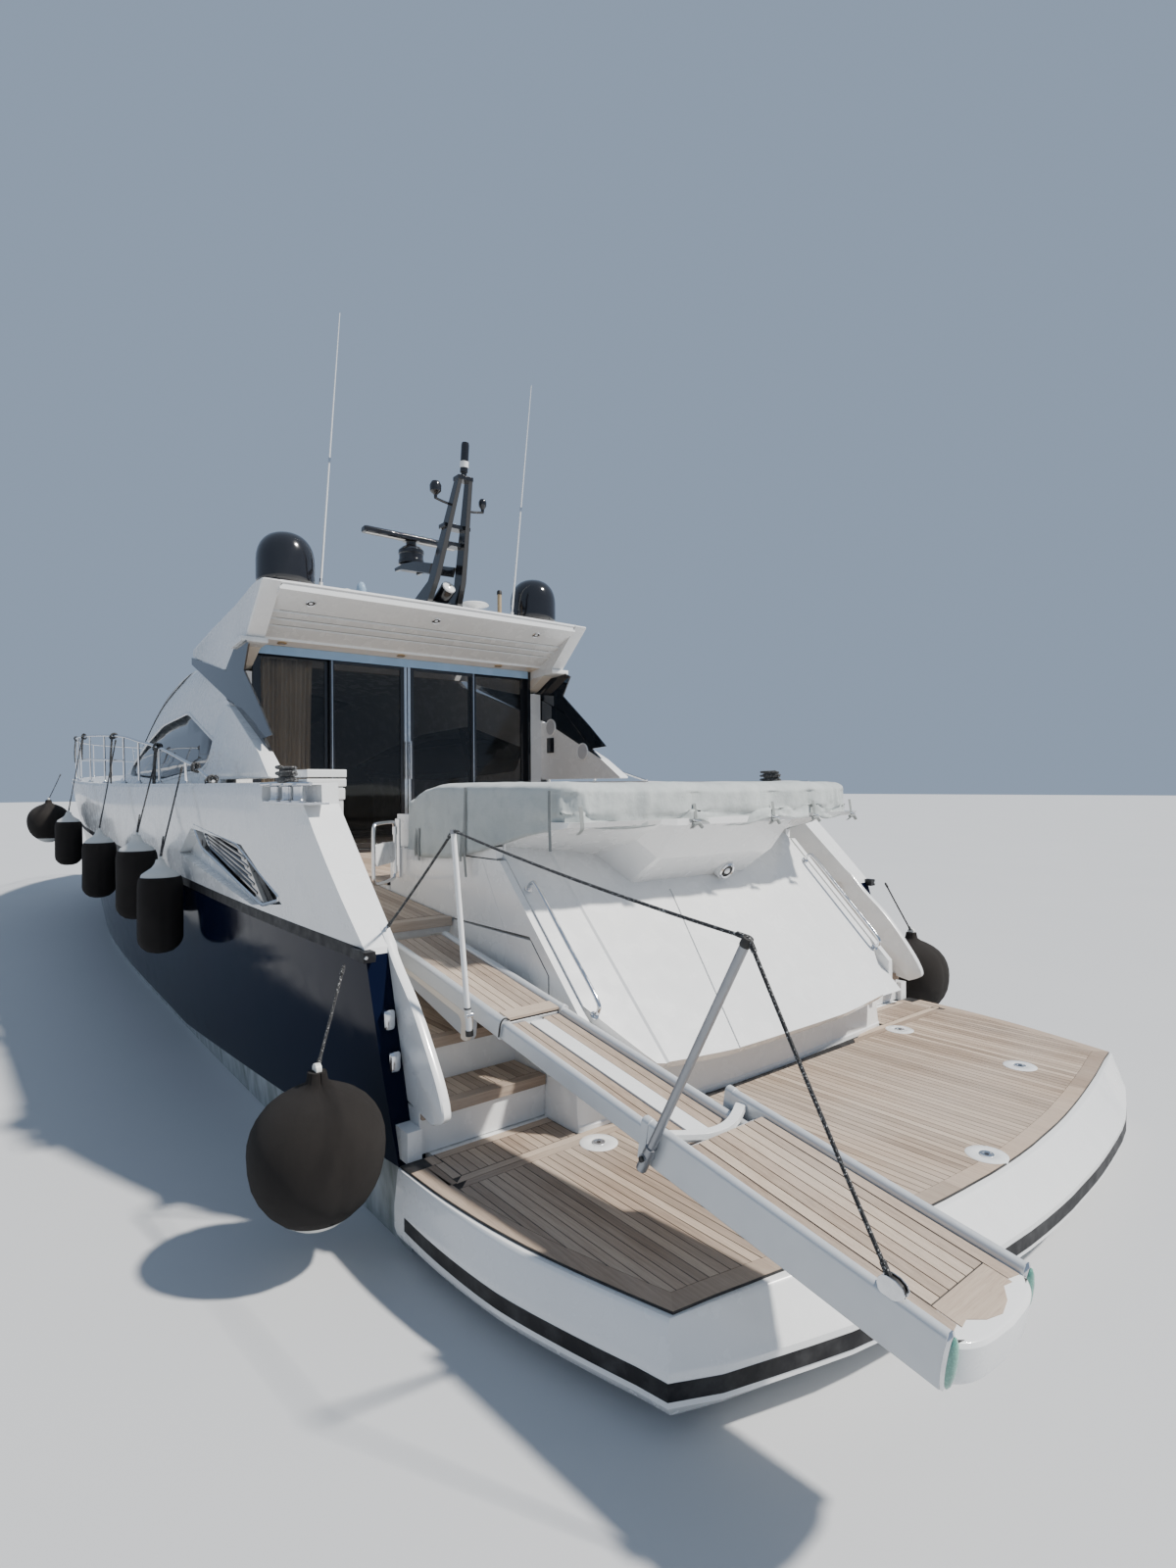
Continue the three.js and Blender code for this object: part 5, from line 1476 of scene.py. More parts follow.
def make_pane(name, skin, stands_for, opening):
    """A curved pane: the part of a thin skin inside the cabin's wall that lies behind its opening."""
    piece = Piece(name).add(cabin_solid(0.022, 5.5, 14.0), skin)
    inner = cabin_solid(0.034, 5.45, 14.05)
    obj = piece.make("tinted_glass", sharp=24, stands_for=[stands_for], cuts=[inner])
    carve(obj, opening, "INTERSECT")
    obj.data.shade_smooth()


def make_windows():
    middle = Vector((8.4, 2.9))
    pane = [tuple(middle + (Vector(p) - middle) * 0.998) for p in rounded(SIDE_WINDOW, 0.16)]
    for name, side in SIDES:
        opening = prism(pane, "y", side * 1.2, side * 3.0)
        make_pane("side_pane_" + name, SIDE_GLASS, "side_window_" + name, opening)
    screen = [(10.302, 1.328), (13.498, 1.008), (13.498, -1.008), (10.302, -1.328)]
    make_pane("windscreen_pane", TINT, "windscreen", prism(rounded(screen, 0.12), "z", 2.75, 5.0))
    bars = Piece("window_bars")
    for side in (PORT, STARBOARD):
        for x, low, high in ((7.55, 2.56, 3.32), (9.55, 2.53, 3.16)):
            path = [P(x + lean, side * (cabin_y(x, z) - 0.045), z)
                    for z, lean in ((low, -0.08), (high, 0.06))]
            bars.add(sweep(path, rect(-0.018, 0.018, -0.006, 0.006)), BLACK)
    bars.make("black_gloss")
    rise = [(4.08, 2.885), (4.40, 3.155), (4.95, 3.582), (4.79, 3.822), (4.90, 3.875), (5.27, 3.858),
            (5.60, 3.672), (5.60, 3.630), (4.90, 3.330), (4.37, 2.865)]
    for name, side in SIDES:
        place_node("quarter_glass_" + name, SIDE_GLASS)
        pane = Piece("quarter_pane_" + name).add(on_side(prism(rise, "y", 1.981, 1.9985), side), SIDE_GLASS)
        pane.make("tinted_glass", bevel=0.003)
    place_node("helm_console", BLACK)


def ring_sweep(path, out, section):
    """A section carried round a closed path that lies nearly flat, its second direction out of the plane."""
    rows = []
    count = len(path)
    for i, p in enumerate(path):
        ahead = (path[(i + 1) % count] - path[i - 1]).normalized()
        across = ahead.cross(out).normalized()
        rows.append([p + across * a + out * b for a, b in section])
    return rings(rows + [rows[0]], ends=False)


def make_screen_cover():
    """A fitted mesh cover stretched over the windscreen and the windows beside it."""
    hem = [(8.46, 3.96), (8.62, 3.84), (9.67, 3.62), (10.43, 3.42), (11.60, 3.06), (12.6, 2.89), (13.7, 2.79)]
    region = [(7.9, 4.6), (8.42, 4.06)] + smooth_line(hem, 5) + [(14.2, 2.90), (14.2, 5.0), (7.9, 5.0)]
    roof = mirror_path([(7.0, 1.5), (8.6, 1.42), (10.1, 1.33), (10.25, 0.9)])
    roof.insert(4, (10.3, 0.0))
    cuts = [cabin_solid(-0.009, 6.95, 15.25, 0.3), prism(roof, "z", 3.5, 5.0)]
    cover = Piece("screen_cover").add(cabin_solid(-0.013, 7.0, 15.2, 0.3), SCREEN_COVER)
    obj = cover.make("cover_fabric", sharp=40, stands_for=["windscreen_cover"], cuts=cuts)
    carve(obj, prism(region, "y", -3.0, 3.0), "INTERSECT")
    obj.data.shade_smooth()


# Hardtop.


TOP_UNDER = [  # x and height of the underside, from the aft edge to the door
    (4.45, 4.325), (4.462, 4.318), (4.755, 4.186), (4.758, 4.212), (4.774, 4.206), (4.776, 4.166),
    (4.869, 4.132), (4.872, 4.156), (4.888, 4.150), (4.890, 4.112), (4.981, 4.080), (4.984, 4.104),
    (5.000, 4.098), (5.002, 4.062), (5.199, 3.983), (5.203, 3.958), (5.41, 3.936), (5.45, 3.936),
    (6.2, 3.955), (7.199, 3.99),
]
TOP_ROWS = [(4.45, 1.80, 4.345, 1.76, 4.392), (5.3, 1.86, 4.25, 1.72, 4.42), (7.199, 1.755, 4.09, 1.50, 4.29)]


def roof_section(x, under):
    half, side, top_half, top = (linear(TOP_ROWS, x, c) for c in range(1, 5))
    side = max(side, under + 0.02)
    outline = [(half, under), (half, side), (half - 0.02, side + 0.018), (top_half, top),
               (top_half * 0.5, top + 0.012)]
    return outline + [(-y, z) for y, z in reversed(outline)]


def make_hardtop():
    rows = [[P(x, y, z) for y, z in roof_section(x, under)] for x, under in TOP_UNDER]
    hollow = block(5.45, 7.10, -1.74, 1.74, 3.8, 4.18)

    def repaint(centre, normal, index):
        soffit = normal.z < -0.8 and 5.2 < centre.x < 5.46
        return 1 if soffit or (normal.z < -0.5 and centre.x > 5.46) else index
    top = Piece("hardtop_roof").add(rings(rows), WHITE)
    top.skins.append(SOFFIT)
    top.make("white_gelcoat", sharp=20, cuts=[hollow], repaint=repaint, stands_for=["hardtop"])

    coping = Piece("hardtop_coping")
    lip = [(-0.022, -0.012), (0.020, -0.012), (0.024, 0.008), (0.014, 0.020), (-0.014, 0.020),
           (-0.024, 0.008)]
    edge = [P(4.462, y, 4.396 + 0.010 * (1 - (y / 1.8) ** 2)) for y in stations(-1.80, 1.80, 0.1)]
    coping.add(sweep(edge, lip), WHITE)
    # The dark strips in the steps of the underside are painted shadow.
    for x, z in ((4.766, 4.1885), (4.880, 4.1335), (4.992, 4.0815)):
        coping.add(block(x - 0.008, x + 0.008, -1.70, 1.70, z - 0.004, z + 0.02), PAINTED_STEP_SHADOW)
    coping.make("white_gelcoat")


WING = [(4.40, 4.405), (4.935, 3.920), (5.02, 3.885), (5.27, 3.862), (5.60, 3.672), (5.72, 3.66), (6.4, 3.80),
        (7.199, 4.005), (7.199, 4.082), (6.3, 4.20), (5.3, 4.305), (4.70, 4.405)]


def make_wings():
    wings = Piece("hardtop_wings")
    middle = Vector((5.5, 4.05))
    rows = []
    for grow, y in ((1.0, 1.79), (1.0, 1.945), (0.992, 1.963), (0.975, 1.972)):
        part = [middle + (Vector(p) - middle) * grow for p in rounded(WING, 0.05, 3)]
        rows.append([P(p.x, y + 0.03 * max(0.0, 4.1 - p.y), p.y) for p in part])
    ledge = rounded([(4.900, 3.862), (5.31, 3.835), (5.31, 3.895), (4.900, 3.918)], 0.014, 2)
    lobe = [(5.04, 3.885), (5.30, 3.862), (5.66, 3.672), (5.60, 3.655), (5.46, 3.672)]
    for side in (PORT, STARBOARD):
        wings.add(on_side(rings(rows), side), WHITE)
        wings.add(on_side(prism(ledge, "y", 1.775, 2.035), side), WHITE)
        wings.add(on_side(prism(lobe, "y", 1.782, 1.93), side), BEIGE)
    wings.make("white_gelcoat", sharp=32, bevel=0.003)


SPOT_LAMP = [  # profile, finish, segments
    ([(0, -0.004), (0.049, -0.004), (0.050, 0.006), (0.043, 0.012), (0.038, 0.006), (0, 0.004)], STEEL, 28),
    ([(0, 0.003), (0.037, 0.003), (0.036, 0.0065), (0, 0.0065)], CAULK, 24),
    ([(0, 0.006), (0.020, 0.006), (0.014, 0.011), (0, 0.012)], LAMP, 24),
]
ROOF_LAMP = [
    ([(0, -0.004), (0.050, -0.004), (0.050, 0.007), (0.040, 0.010), (0.034, 0.004), (0, 0.002)], BRONZE, 28),
    ([(0, 0.001), (0.033, 0.001), (0.028, 0.006), (0, 0.007)], CLEAR_BLUE, 20),
]


def make_hardtop_lights():
    fittings = Piece("hardtop_lights")
    places = [(P(4.596, y, 4.2545), Vector((-0.42, 0, -0.91)), SPOT_LAMP) for y in (1.45, 0.05, -1.31)]
    places += [(P(5.30, y, 3.9465), (0, 0, -1), ROOF_LAMP) for y in (1.51, 0.14, -1.21)]
    for place, facing, lamp in places:
        for profile, skin, segments in lamp:
            fittings.add(lathe(profile, place, facing, segments), skin)
    fittings.make("stainless")


# Door front.


def make_doors():
    soften("door_frame", BLACK, 0.005)
    glass = Piece("door_fanlight").add(block(5.404, 5.409, -1.74, 1.74, 3.838, 3.934), BLUE_GLASS)
    glass.make("tinted_glass")
    for name, side in SIDES:
        make_leaves(name, side, 1.692, 3.868)


def make_leaves(name, side, z0, z1):
    """The stiles and rails of one fixed and one sliding leaf, between two heights."""
    place_node("door_fixed_" + name, TINT)
    place_node("door_leaf_" + name, TINT)
    fixed = Piece("door_stiles_fixed_" + name)
    for y0, y1 in ((0.882, 0.985), (1.68, 1.744)):
        fixed.add(block(5.477, 5.513, side * y0, side * y1, z0, z1), BLACK)
    for low, high in ((z0, z0 + 0.05), (z1 - 0.05, z1)):
        fixed.add(block(5.4775, 5.5125, side * 0.986, side * 1.679, low, high), BLACK)
    fixed.make("black_gloss", bevel=0.002)
    leaf = Piece("door_stiles_" + name, "door_" + name)
    low, high = z0 + 0.007, z1 - 0.007
    for y0, y1 in ((0.893, 0.941), (0.003, 0.085)):
        leaf.add(block(5.4275, 5.4635, side * y0, side * y1, low, high), BLACK)
    for x, y0, y1 in ((5.4245, 0.912, 0.922), (5.4225, 0.006, 0.040)):
        leaf.add(block(x, 5.4275, side * y0, side * y1, low + 0.01, high - 0.01), STEEL)
    for a, b in ((low, low + 0.055), (high - 0.055, high)):
        leaf.add(block(5.428, 5.463, side * 0.0855, side * 0.8925, a, b), BLACK)
    leaf.add(tube([P(5.396, side * 0.032, z) for z in (2.50, 2.95)], 0.011, 12), STEEL)
    for z in (2.53, 2.92):
        leaf.add(tube([P(5.396, side * 0.032, z), P(5.424, side * 0.032, z)], 0.008, 10), STEEL)
    leaf.add(block(5.412, 5.424, side * 0.018, side * 0.046, 2.62, 2.80), STEEL)
    leaf.make("black_gloss", bevel=0.002)


def make_curtain():
    """Pleated curtain gathered behind the port leaf, hanging from a rail."""
    top, foot = 3.83, 1.72
    rows = []
    for z in stations(foot, top, 0.09):
        drop = (top - z) / (top - foot)
        row = []
        for i in range(181):
            t = i / 180
            pleat = math.sin(t * math.pi * 2 * 13 + 0.7 * math.sin(t * 11)) * (1 + 0.35 * math.sin(t * 23))
            depth = 0.018 + 0.016 * drop
            edge = 1.07 + 0.03 * math.sin(drop * 2.6) * (1 - t)
            y = edge + (1.73 - edge) * t + 0.010 * math.sin(t * 57) * drop
            row.append(P(5.63 + depth * pleat + 0.012 * noise.noise(Vector((t * 6, drop * 2, 1))), y, z))
        rows.append(row)
    curtain = Piece("door_curtain").add(rings(rows, cyclic=False, ends=False), CURTAIN)
    obj = curtain.make(None, sharp=80)
    thick = obj.modifiers.new("cloth_thickness", "SOLIDIFY")
    thick.thickness = 0.0014
    rail = Piece("curtain_rail").add(tube([P(5.63, y, 3.845) for y in (1.05, 1.75)], 0.010, 10), STEEL)
    for i in range(10):
        rail.add(lathe(washer(0.011, 0.016, 0.004), P(5.63, 1.10 + i * 0.068, 3.842), (0, 1, 0), 14), STEEL)
    rail.make("stainless")


def cushion(x0, x1, y0, y1, z0, z1, crown=0.03):
    """A crowned pad whose edges pull in between its corners."""
    puff, levels, steps = 0.03, 6, 12
    middle = Vector(((x0 + x1) / 2, (y0 + y1) / 2))
    corners = rect(x0, x1, y0, y1)
    rows = []
    for level in range(levels + 1):
        t = level / levels
        bulge = math.sin(math.pi * t) * puff
        ring = []
        for corner, following in zip(corners, corners[1:] + corners[:1]):
            for k in range(steps):
                out = Vector(corner).lerp(Vector(following), k / steps) - middle
                pull = 0.5 - 0.5 * math.cos(2 * math.pi * k / steps)
                tuck = 0.03 * (1 - pull)
                reach = 1 + (bulge * (0.5 + 0.5 * pull) - 0.03 - tuck) / max(0.1, out.length)
                ring.append(P(*(middle + out * reach), z0 + (z1 - z0) * t))
        rows.append(ring)
    last = rows[-1]
    centre = sum(last, Vector()) / len(last)
    for share in (0.12, 0.3, 0.55, 0.8, 0.99):
        rise = crown * math.sin(share * math.pi / 2)
        rows.append([p.lerp(centre, share) + Vector((0, 0, rise)) for p in last])
    return rings(rows)


def make_saloon():
    seats = Piece("saloon_sofa_base").add(block(6.2, 9.0, 1.15, 1.90, SOLE - 0.02, 1.90), CREAM)
    seats.add(block(8.5, 9.0, 0.30, 1.149, SOLE - 0.02, 1.90), CREAM)
    seats.make("cream_leather", bevel=0.02, stands_for=["saloon_sofa"])
    pads = Piece("saloon_cushions")
    for i in range(4):
        x0 = 6.2 + i * 0.7
        pads.add(cushion(x0, x0 + 0.69, 1.14, 1.72, 1.905, 2.04), CREAM)
        pads.add(cushion(x0, x0 + 0.69, 1.70, 1.90, 2.03, 2.44, crown=0.02), CREAM)
    pads.add(cushion(8.5, 9.0, 0.30, 1.10, 1.905, 2.04), CREAM)
    obj = pads.make("cream_leather", sharp=60)


# What stands on the hardtop.


def make_domes():
    shape = [(0, 0), (0.218, 0), (0.222, 0.012), (0.222, 0.058), (0.262, 0.072), (0.283, 0.090),
             (0.289, 0.112), (0.290, 0.20), (0.290, 0.30), (0.286, 0.36), (0.274, 0.42), (0.252, 0.475),
             (0.220, 0.522), (0.178, 0.561), (0.125, 0.588), (0.065, 0.602), (0, 0.606)]
    for name, side in SIDES:
        foot = P(5.02, side * 1.56, 4.4145)
        skin = lathe(shape, foot + Vector((0, 0, 0.0225)), segments=56)
        dome = Piece("dome_cover_" + name).add(skin, BLACK)
        for x, y in circle(0.235, 6, 0.3):
            bolt = foot + Vector((x, y, 0.0725))
            dome.add(lathe([(0, 0), (0.012, 0), (0.012, 0.02), (0, 0.022)], bolt, segments=10), STEEL)
        dome.make("black_gloss", sharp=28, stands_for=["dome_" + name])
        plinth = [(0, 0), (0.27, 0), (0.265, 0.014), (0.235, 0.022), (0, 0.022)]
        Piece("dome_plinth_" + name).add(lathe(plinth, foot, segments=40), WHITE).make("white_gelcoat")


def make_whips():
    for name, side in SIDES:
        whip = Piece("whip_aerial_" + name)
        foot, tip = P(5.0, side * 1.21, 4.424), P(4.48, side * 1.18, 7.22)
        ahead = (tip - foot).normalized()
        whip.add(tube([foot, tip], 0.0125, 12, taper=0.004), WHITE)
        collars = ((-0.002, 0.16, 0.020, 14, WHITE), (0.16, 0.20, 0.017, 14, STEEL),
                   (1.38, 1.43, 0.0125, 12, STEEL))
        for low, high, radius, sides, skin in collars:
            whip.add(tube([foot + ahead * low, foot + ahead * high], radius, sides), skin)
        base = [(0, 0), (0.045, 0), (0.045, 0.010), (0.030, 0.022), (0, 0.024)]
        whip.add(lathe(base, P(5.0, side * 1.21, 4.4175), segments=24), STEEL)
        whip.make("white_gelcoat", stands_for=["whip_" + name])


MAST_FOOT = 4.424
MAST_LEGS = [  # height, depth
    (MAST_FOOT, 0.46), (4.52, 0.30), (4.66, 0.185), (5.0, 0.150), (5.4, 0.118), (5.68, 0.10),
]


def mast_x(z):
    """Where the raked mast stands at a height."""
    return 4.60 - (z - MAST_FOOT) * 0.390


def add_legs(mast):
    for side in (PORT, STARBOARD):
        rows = []
        for z, deep in MAST_LEGS:
            share = (z - MAST_FOOT) / 1.256
            y, wide = 0.185 - 0.125 * share, 0.032 - 0.008 * share
            x = mast_x(z) - 0.05 - 0.04 * (1 - share)
            front = x + deep * (1.05 if z < 4.6 else 0.5)
            back = max(x - deep * 0.5, 4.49 - (z - MAST_FOOT) * 0.6)
            rows.append([P(a, side * b, z) for a, b in rect(back, front, y - wide, y + wide)])
        mast.add(rings(rows), BLACK)
    mast.add(block(4.485, 4.95, -0.225, 0.225, 4.423, 4.446), BLACK)
    mast.add(block(mast_x(5.68) - 0.10, mast_x(5.68) + 0.02, -0.09, 0.09, 5.66, 5.705), BLACK)
    for z, wide in ((5.21, 0.16), (5.04, 0.15)):
        mast.add(block(mast_x(z) - 0.10, mast_x(z) + 0.03, -wide, wide, z - 0.022, z + 0.022), BLACK)


def add_masthead(mast):
    """The all-round light at the top and a lamp on an arm at each side."""
    head, up = P(mast_x(5.70) - 0.04, 0, 5.70), (-0.12, 0, 1)
    parts = [
        ([(0, 0), (0.034, 0), (0.030, 0.045), (0.042, 0.05), (0.042, 0.10), (0, 0.10)], BLACK),
        (disc(0.046, 0.1001, 0.165), WHITE),
        ([(0, 0.1651), (0.043, 0.1651), (0.043, 0.335), (0.036, 0.362), (0, 0.365)], BLACK),
    ]
    for profile, skin in parts:
        mast.add(lathe(profile, head, up, 24), skin)
    for side, z, ball in ((PORT, 5.44, 0.060), (STARBOARD, 5.41, 0.042)):
        x = mast_x(z)
        arm = [P(x - 0.04, side * 0.09, z - 0.02), P(x - 0.05, side * 0.20, z - 0.01),
               P(x - 0.06, side * 0.30, z + 0.005)]
        mast.add(tube(arm, 0.014, 10), BLACK)
        lamp = [(0, 0), (0.018, 0), (0.018, 0.03), (ball, 0.07), (ball * 1.05, 0.07 + ball),
                (ball * 0.7, 0.07 + ball * 1.7), (0, 0.07 + ball * 1.95)]
        mast.add(lathe(lamp, P(x - 0.06, side * 0.29, z + 0.004), segments=20), BLACK)


def make_mast():
    mast = Piece("mast_frame")
    add_legs(mast)
    add_masthead(mast)
    bracket = [(4.50, 4.86), (4.56, 4.76), (5.25, 4.955), (5.42, 4.965), (5.43, 5.005), (5.20, 5.008),
               (4.92, 4.975)]
    for y0, y1 in ((-0.155, -0.125), (0.125, 0.155)):
        mast.add(prism(bracket, "y", y0, y1), BLACK)
    mast.add(block(5.12, 5.43, -0.124, 0.124, 4.985, 5.006), BLACK)
    drum = [(0, 0), (0.118, 0), (0.122, 0.03), (0.150, 0.04), (0.150, 0.085), (0.142, 0.092), (0.142, 0.15),
            (0.150, 0.157), (0.150, 0.20), (0.118, 0.235), (0.075, 0.258), (0, 0.258)]
    mast.add(lathe(drum, P(5.30, 0, 5.006), segments=40), BLACK)
    mast.add(sweep([P(4.62, 0, 4.47), P(4.44, -0.02, 4.60)], circle(0.085, 24)), BLACK)
    mast.make("black_gloss", sharp=30, bevel=0.003, stands_for=["radar_mast"])

    place, facing = P(4.437, -0.02, 4.602), (-0.85, -0.08, 0.55)
    lamp = Piece("mast_foot_lamp")
    lamp.add(lathe([(0, 0), (0.078, 0), (0.076, 0.018), (0.05, 0.034), (0, 0.038)], place, facing, 28), WHITE)
    lamp.add(lathe(disc(0.014, 0.036, 0.042), place, facing, 14), CAULK)
    lamp.make("white_gelcoat")


def make_scanner():
    scanner = Piece("radar_bar", "radar_scanner")
    end = [(0.050, -0.030), (0.062, -0.010), (0.058, 0.022), (0.030, 0.040), (-0.040, 0.042), (-0.060, 0.020),
           (-0.060, -0.020), (-0.045, -0.032)]
    half = ((0.600, 0.72), (0.592, 0.9), (0.56, 1.0), (0.30, 1.0))  # how far out, size of the section
    along = [(-y, size) for y, size in half] + [(0.0, 1.0)] + list(reversed(half))
    bar = rings([[P(5.30 + a * size, y, 5.350 + b * size) for a, b in end] for y, size in along])
    scanner.add(bar, BLACK)
    scanner.add(block(5.262, 5.30, -0.57, 0.57, 5.3165, 5.3195), BEIGE)
    hub = [(0, 0), (0.060, 0), (0.060, 0.035), (0.10, 0.046), (0, 0.05)]
    scanner.add(lathe(hub, P(5.30, 0, 5.272), segments=28), BLACK)
    scanner.make("black_gloss", bevel=0.002, stands_for=["radar_scanner"])


ROOF_FITTINGS = [
    # x, y, profile, finish, segments
    (4.85, 0.97, [(0, 0), (0.035, 0), (0.035, 0.05), (0.075, 0.058), (0.082, 0.075), (0.045, 0.10),
                  (0, 0.118)], WHITE, 24),
    (4.90, 0.79, [(0, 0), (0.04, 0), (0.04, 0.02), (0.018, 0.03), (0.018, 0.05), (0.05, 0.06), (0.058, 0.12),
                  (0.045, 0.19), (0.02, 0.22), (0, 0.225)], CLEAR_BLUE, 24),
    (4.90, -0.62, [(0, 0), (0.030, 0), (0.024, 0.10), (0.024, 0.125), (0.16, 0.150), (0.178, 0.165),
                   (0.16, 0.182), (0.06, 0.205), (0, 0.21)], WHITE, 36),
    (4.92, -0.99, disc(0.026, 0, 0.35), TAN, 18),
    (4.92, -0.99, [(0, 0.3501), (0.031, 0.3501), (0.031, 0.385), (0.022, 0.40), (0, 0.402)], CAULK, 18),
]


def make_roof_fittings():
    small = Piece("roof_fittings")
    for x, y, profile, skin, segments in ROOF_FITTINGS:
        small.add(lathe(profile, P(x, y, 4.412), segments=segments), skin)
    small.make("white_gelcoat")
    walls = Piece("cockpit_speakers")
    rim = [(0, 0), (0.112, 0), (0.112, 0.008), (0.104, 0.014), (0.097, 0.008), (0, 0.008)]
    mesh = [(0, 0.006), (0.096, 0.006), (0.092, 0.011), (0, 0.013)]
    for side in (PORT, STARBOARD):
        for x, z in ((5.19, 3.185), (4.51, 2.835)):
            for profile, skin in ((rim, WHITE), (mesh, SPEAKER)):
                walls.add(lathe(profile, P(x, side * 1.9585, z), (0, -side, 0), 40), skin)
        walls.add(block(5.12, 5.27, side * 1.9585, side * 1.948, 2.845, 3.045), BLACK)
    walls.make("white_gelcoat", bevel=0.002)


# Deck gear.


RAIL = [  # x, height of the rail over the deck edge
    (3.94, 0.02), (4.49, 0.15), (6.06, 0.39), (8.22, 0.60), (10.4, 0.72), (13.0, 0.76), (20.5, 0.74),
]
POSTS = (4.90, 6.06, 7.20, 8.22, 9.80, 11.40, 13.0, 14.6, 16.2, 17.8, 19.3)


def rail_point(x, share=1.0):
    return P(x, linear(HULL, x) - 0.055, linear(HULL, x, 2) + linear(RAIL, x) * share)


def make_bow_rail():
    rail = Piece("bow_rail_tube")
    runs = [
        # aft end, share of the height, forward end, radius of the tube
        (3.94, 1.0, (20.50, 0.52, 3.49), 0.0155), (8.22, 0.5, (20.52, 0.48, 3.115), 0.0105),
    ]
    for first, share, nose, radius in runs:
        half = [rail_point(x, share) for x in (3.94, 4.49, *POSTS) if x >= first - 0.01] + [P(*nose)]
        tip = P(nose[0] + 0.4, 0, nose[2] + 0.008)
        path = half + [tip] + [Vector((p.x, -p.y, p.z)) for p in reversed(half)]
        rail.add(sweep(smooth_path(path, 7), circle(radius, 10)), STEEL)
    ends = [(rail_point(x), P(x + 0.06, linear(HULL, x) - 0.075, linear(HULL, x, 2) + 0.012)) for x in POSTS]
    ends.append((P(20.50, 0.52, 3.49), P(20.48, 0.43, 2.79)))
    flange = [(0, -0.004), (0.038, -0.004), (0.036, 0.006), (0.020, 0.016), (0.016, 0.03), (0, 0.03)]
    for side in (PORT, STARBOARD):
        for top, foot in ends:
            top, foot = (Vector((p.x, side * p.y, p.z)) for p in (top, foot))
            rail.add(sweep([foot, top], circle(0.0125, 10)), STEEL)
            rail.add(lathe(flange, foot, segments=18), STEEL)
    rail.make("stainless", sharp=45, stands_for=["bow_rail"])


def make_anchor():
    anchor = Piece("anchor_on_roller")
    anchor.add(block(20.64, 21.08, -0.07, 0.07, 2.805, 2.828), STEEL)
    anchor.add(sweep([P(20.70, 0, 2.868), P(21.04, 0, 2.866)], rect(-0.012, 0.012, -0.026, 0.026)), STEEL)
    for side in (PORT, STARBOARD):
        fluke = (P(20.78, side * 0.004, 2.866), P(21.0, side * 0.145, 2.836), P(21.085, side * 0.010, 2.842))
        anchor.add(rings([[p + Vector((0, 0, d)) for p in fluke] for d in (0.0, 0.014)]), STEEL)
    anchor.add(sweep([P(20.82, -0.06, 2.848), P(20.82, 0.06, 2.848)], circle(0.020, 14)), STEEL)
    anchor.make("stainless", bevel=0.002, stands_for=["anchor"])


VENT_FRAME = [(3.07, 1.972), (4.38, 2.085), (4.09, 1.898), (2.50, 1.578), (2.16, 1.652)]


def make_vents():
    """Louvred intake: dark slanting slats in a bright frame, with a pale plate and a slot at its aft end."""
    outline = rounded(VENT_FRAME, 0.05, 3)
    trim = [(0.016, -0.05), (0.016, 0.006), (0.006, 0.011), (-0.008, 0.004), (-0.008, -0.05)]
    slat = ((2.516, 0.022), (2.552, -0.006), (2.552, 0.010), (2.516, 0.040))
    plate = [(3.05, 1.955), (3.20, 1.965), (2.66, 1.612), (2.50, 1.592)]
    slot = [(2.93, 1.93), (3.02, 1.935), (2.42, 1.606), (2.33, 1.628)]
    for name, side in SIDES:
        vent = Piece("vent_grille_" + name)
        vent.add(rings([[P(x, side * y, z) for x, z in outline] for y in (2.508, 2.514)]), CAULK)
        path = [P(x, side * linear(HULL, x), z) for x, z in outline]
        vent.add(ring_sweep(path, Vector((0, side, 0)), trim), STEEL)
        for i in range(6):
            ends = ((2.64 + i * 0.075, 1.64 + i * 0.058), (3.98 + i * 0.055, 1.905 + i * 0.033))
            vent.add(rings([[P(x, side * y, z + dz) for y, dz in slat] for x, z in ends]), BLACK)
        vent.add(prism(plate, "y", side * 2.515, side * 2.545), BEIGE)
        vent.add(prism(slot, "y", side * 2.515, side * 2.53), CAULK)
        vent.make("black_gloss", sharp=40, bevel=0.0015, stands_for=["vent_" + name])


def make_fairleads():
    """Posts of the stern fairlead on their plate, a bright tube over them, and spare line."""
    x0, x1, z0, z1 = FAIRLEAD
    post = [(0, 0), (0.048, 0), (0.048, 0.010), (0.037, 0.018), (0.035, 0.06), (0.037, 0.100), (0.046, 0.108),
            (0.046, 0.118), (0, 0.120)]
    for name, side in SIDES:
        lead = Piece("fairlead_" + name)
        lead.add(block(x0 - 0.02, x1 - 0.02, side * 2.415, side * 2.565, z0 - 0.001, z0 + 0.014), STEEL)
        edge = [P(x0 - 0.05, side * 2.545, z1 + 0.006), P(x0 + 0.3, side * 2.560, z1 + 0.010),
                P(x1 - 0.25, side * 2.562, z1 + 0.010), P(x1 + 0.05, side * 2.555, z1 + 0.006)]
        lead.add(tube(edge, 0.013, 10), STEEL)
        for x in (1.78, 2.00, 2.24):
            lead.add(lathe(post, P(x, side * 2.535, z0 + 0.013), segments=24), STEEL)
        lead.make("stainless", bevel=0.0015)
        turns = []
        for i in range(110):
            a = i * 0.42
            r = 0.052 + 0.018 * math.sin(i * 0.13)
            turns.append(P(2.02 + 1.8 * r * math.cos(a), side * (2.535 + r * 0.75 * math.sin(a)),
                           z1 + 0.022 + 0.0009 * i))
        coil = Piece("rope_turns_" + name).add(sweep(turns, circle(0.0125, 8)), BLACK_ROPE)
        coil.make("cover_fabric")


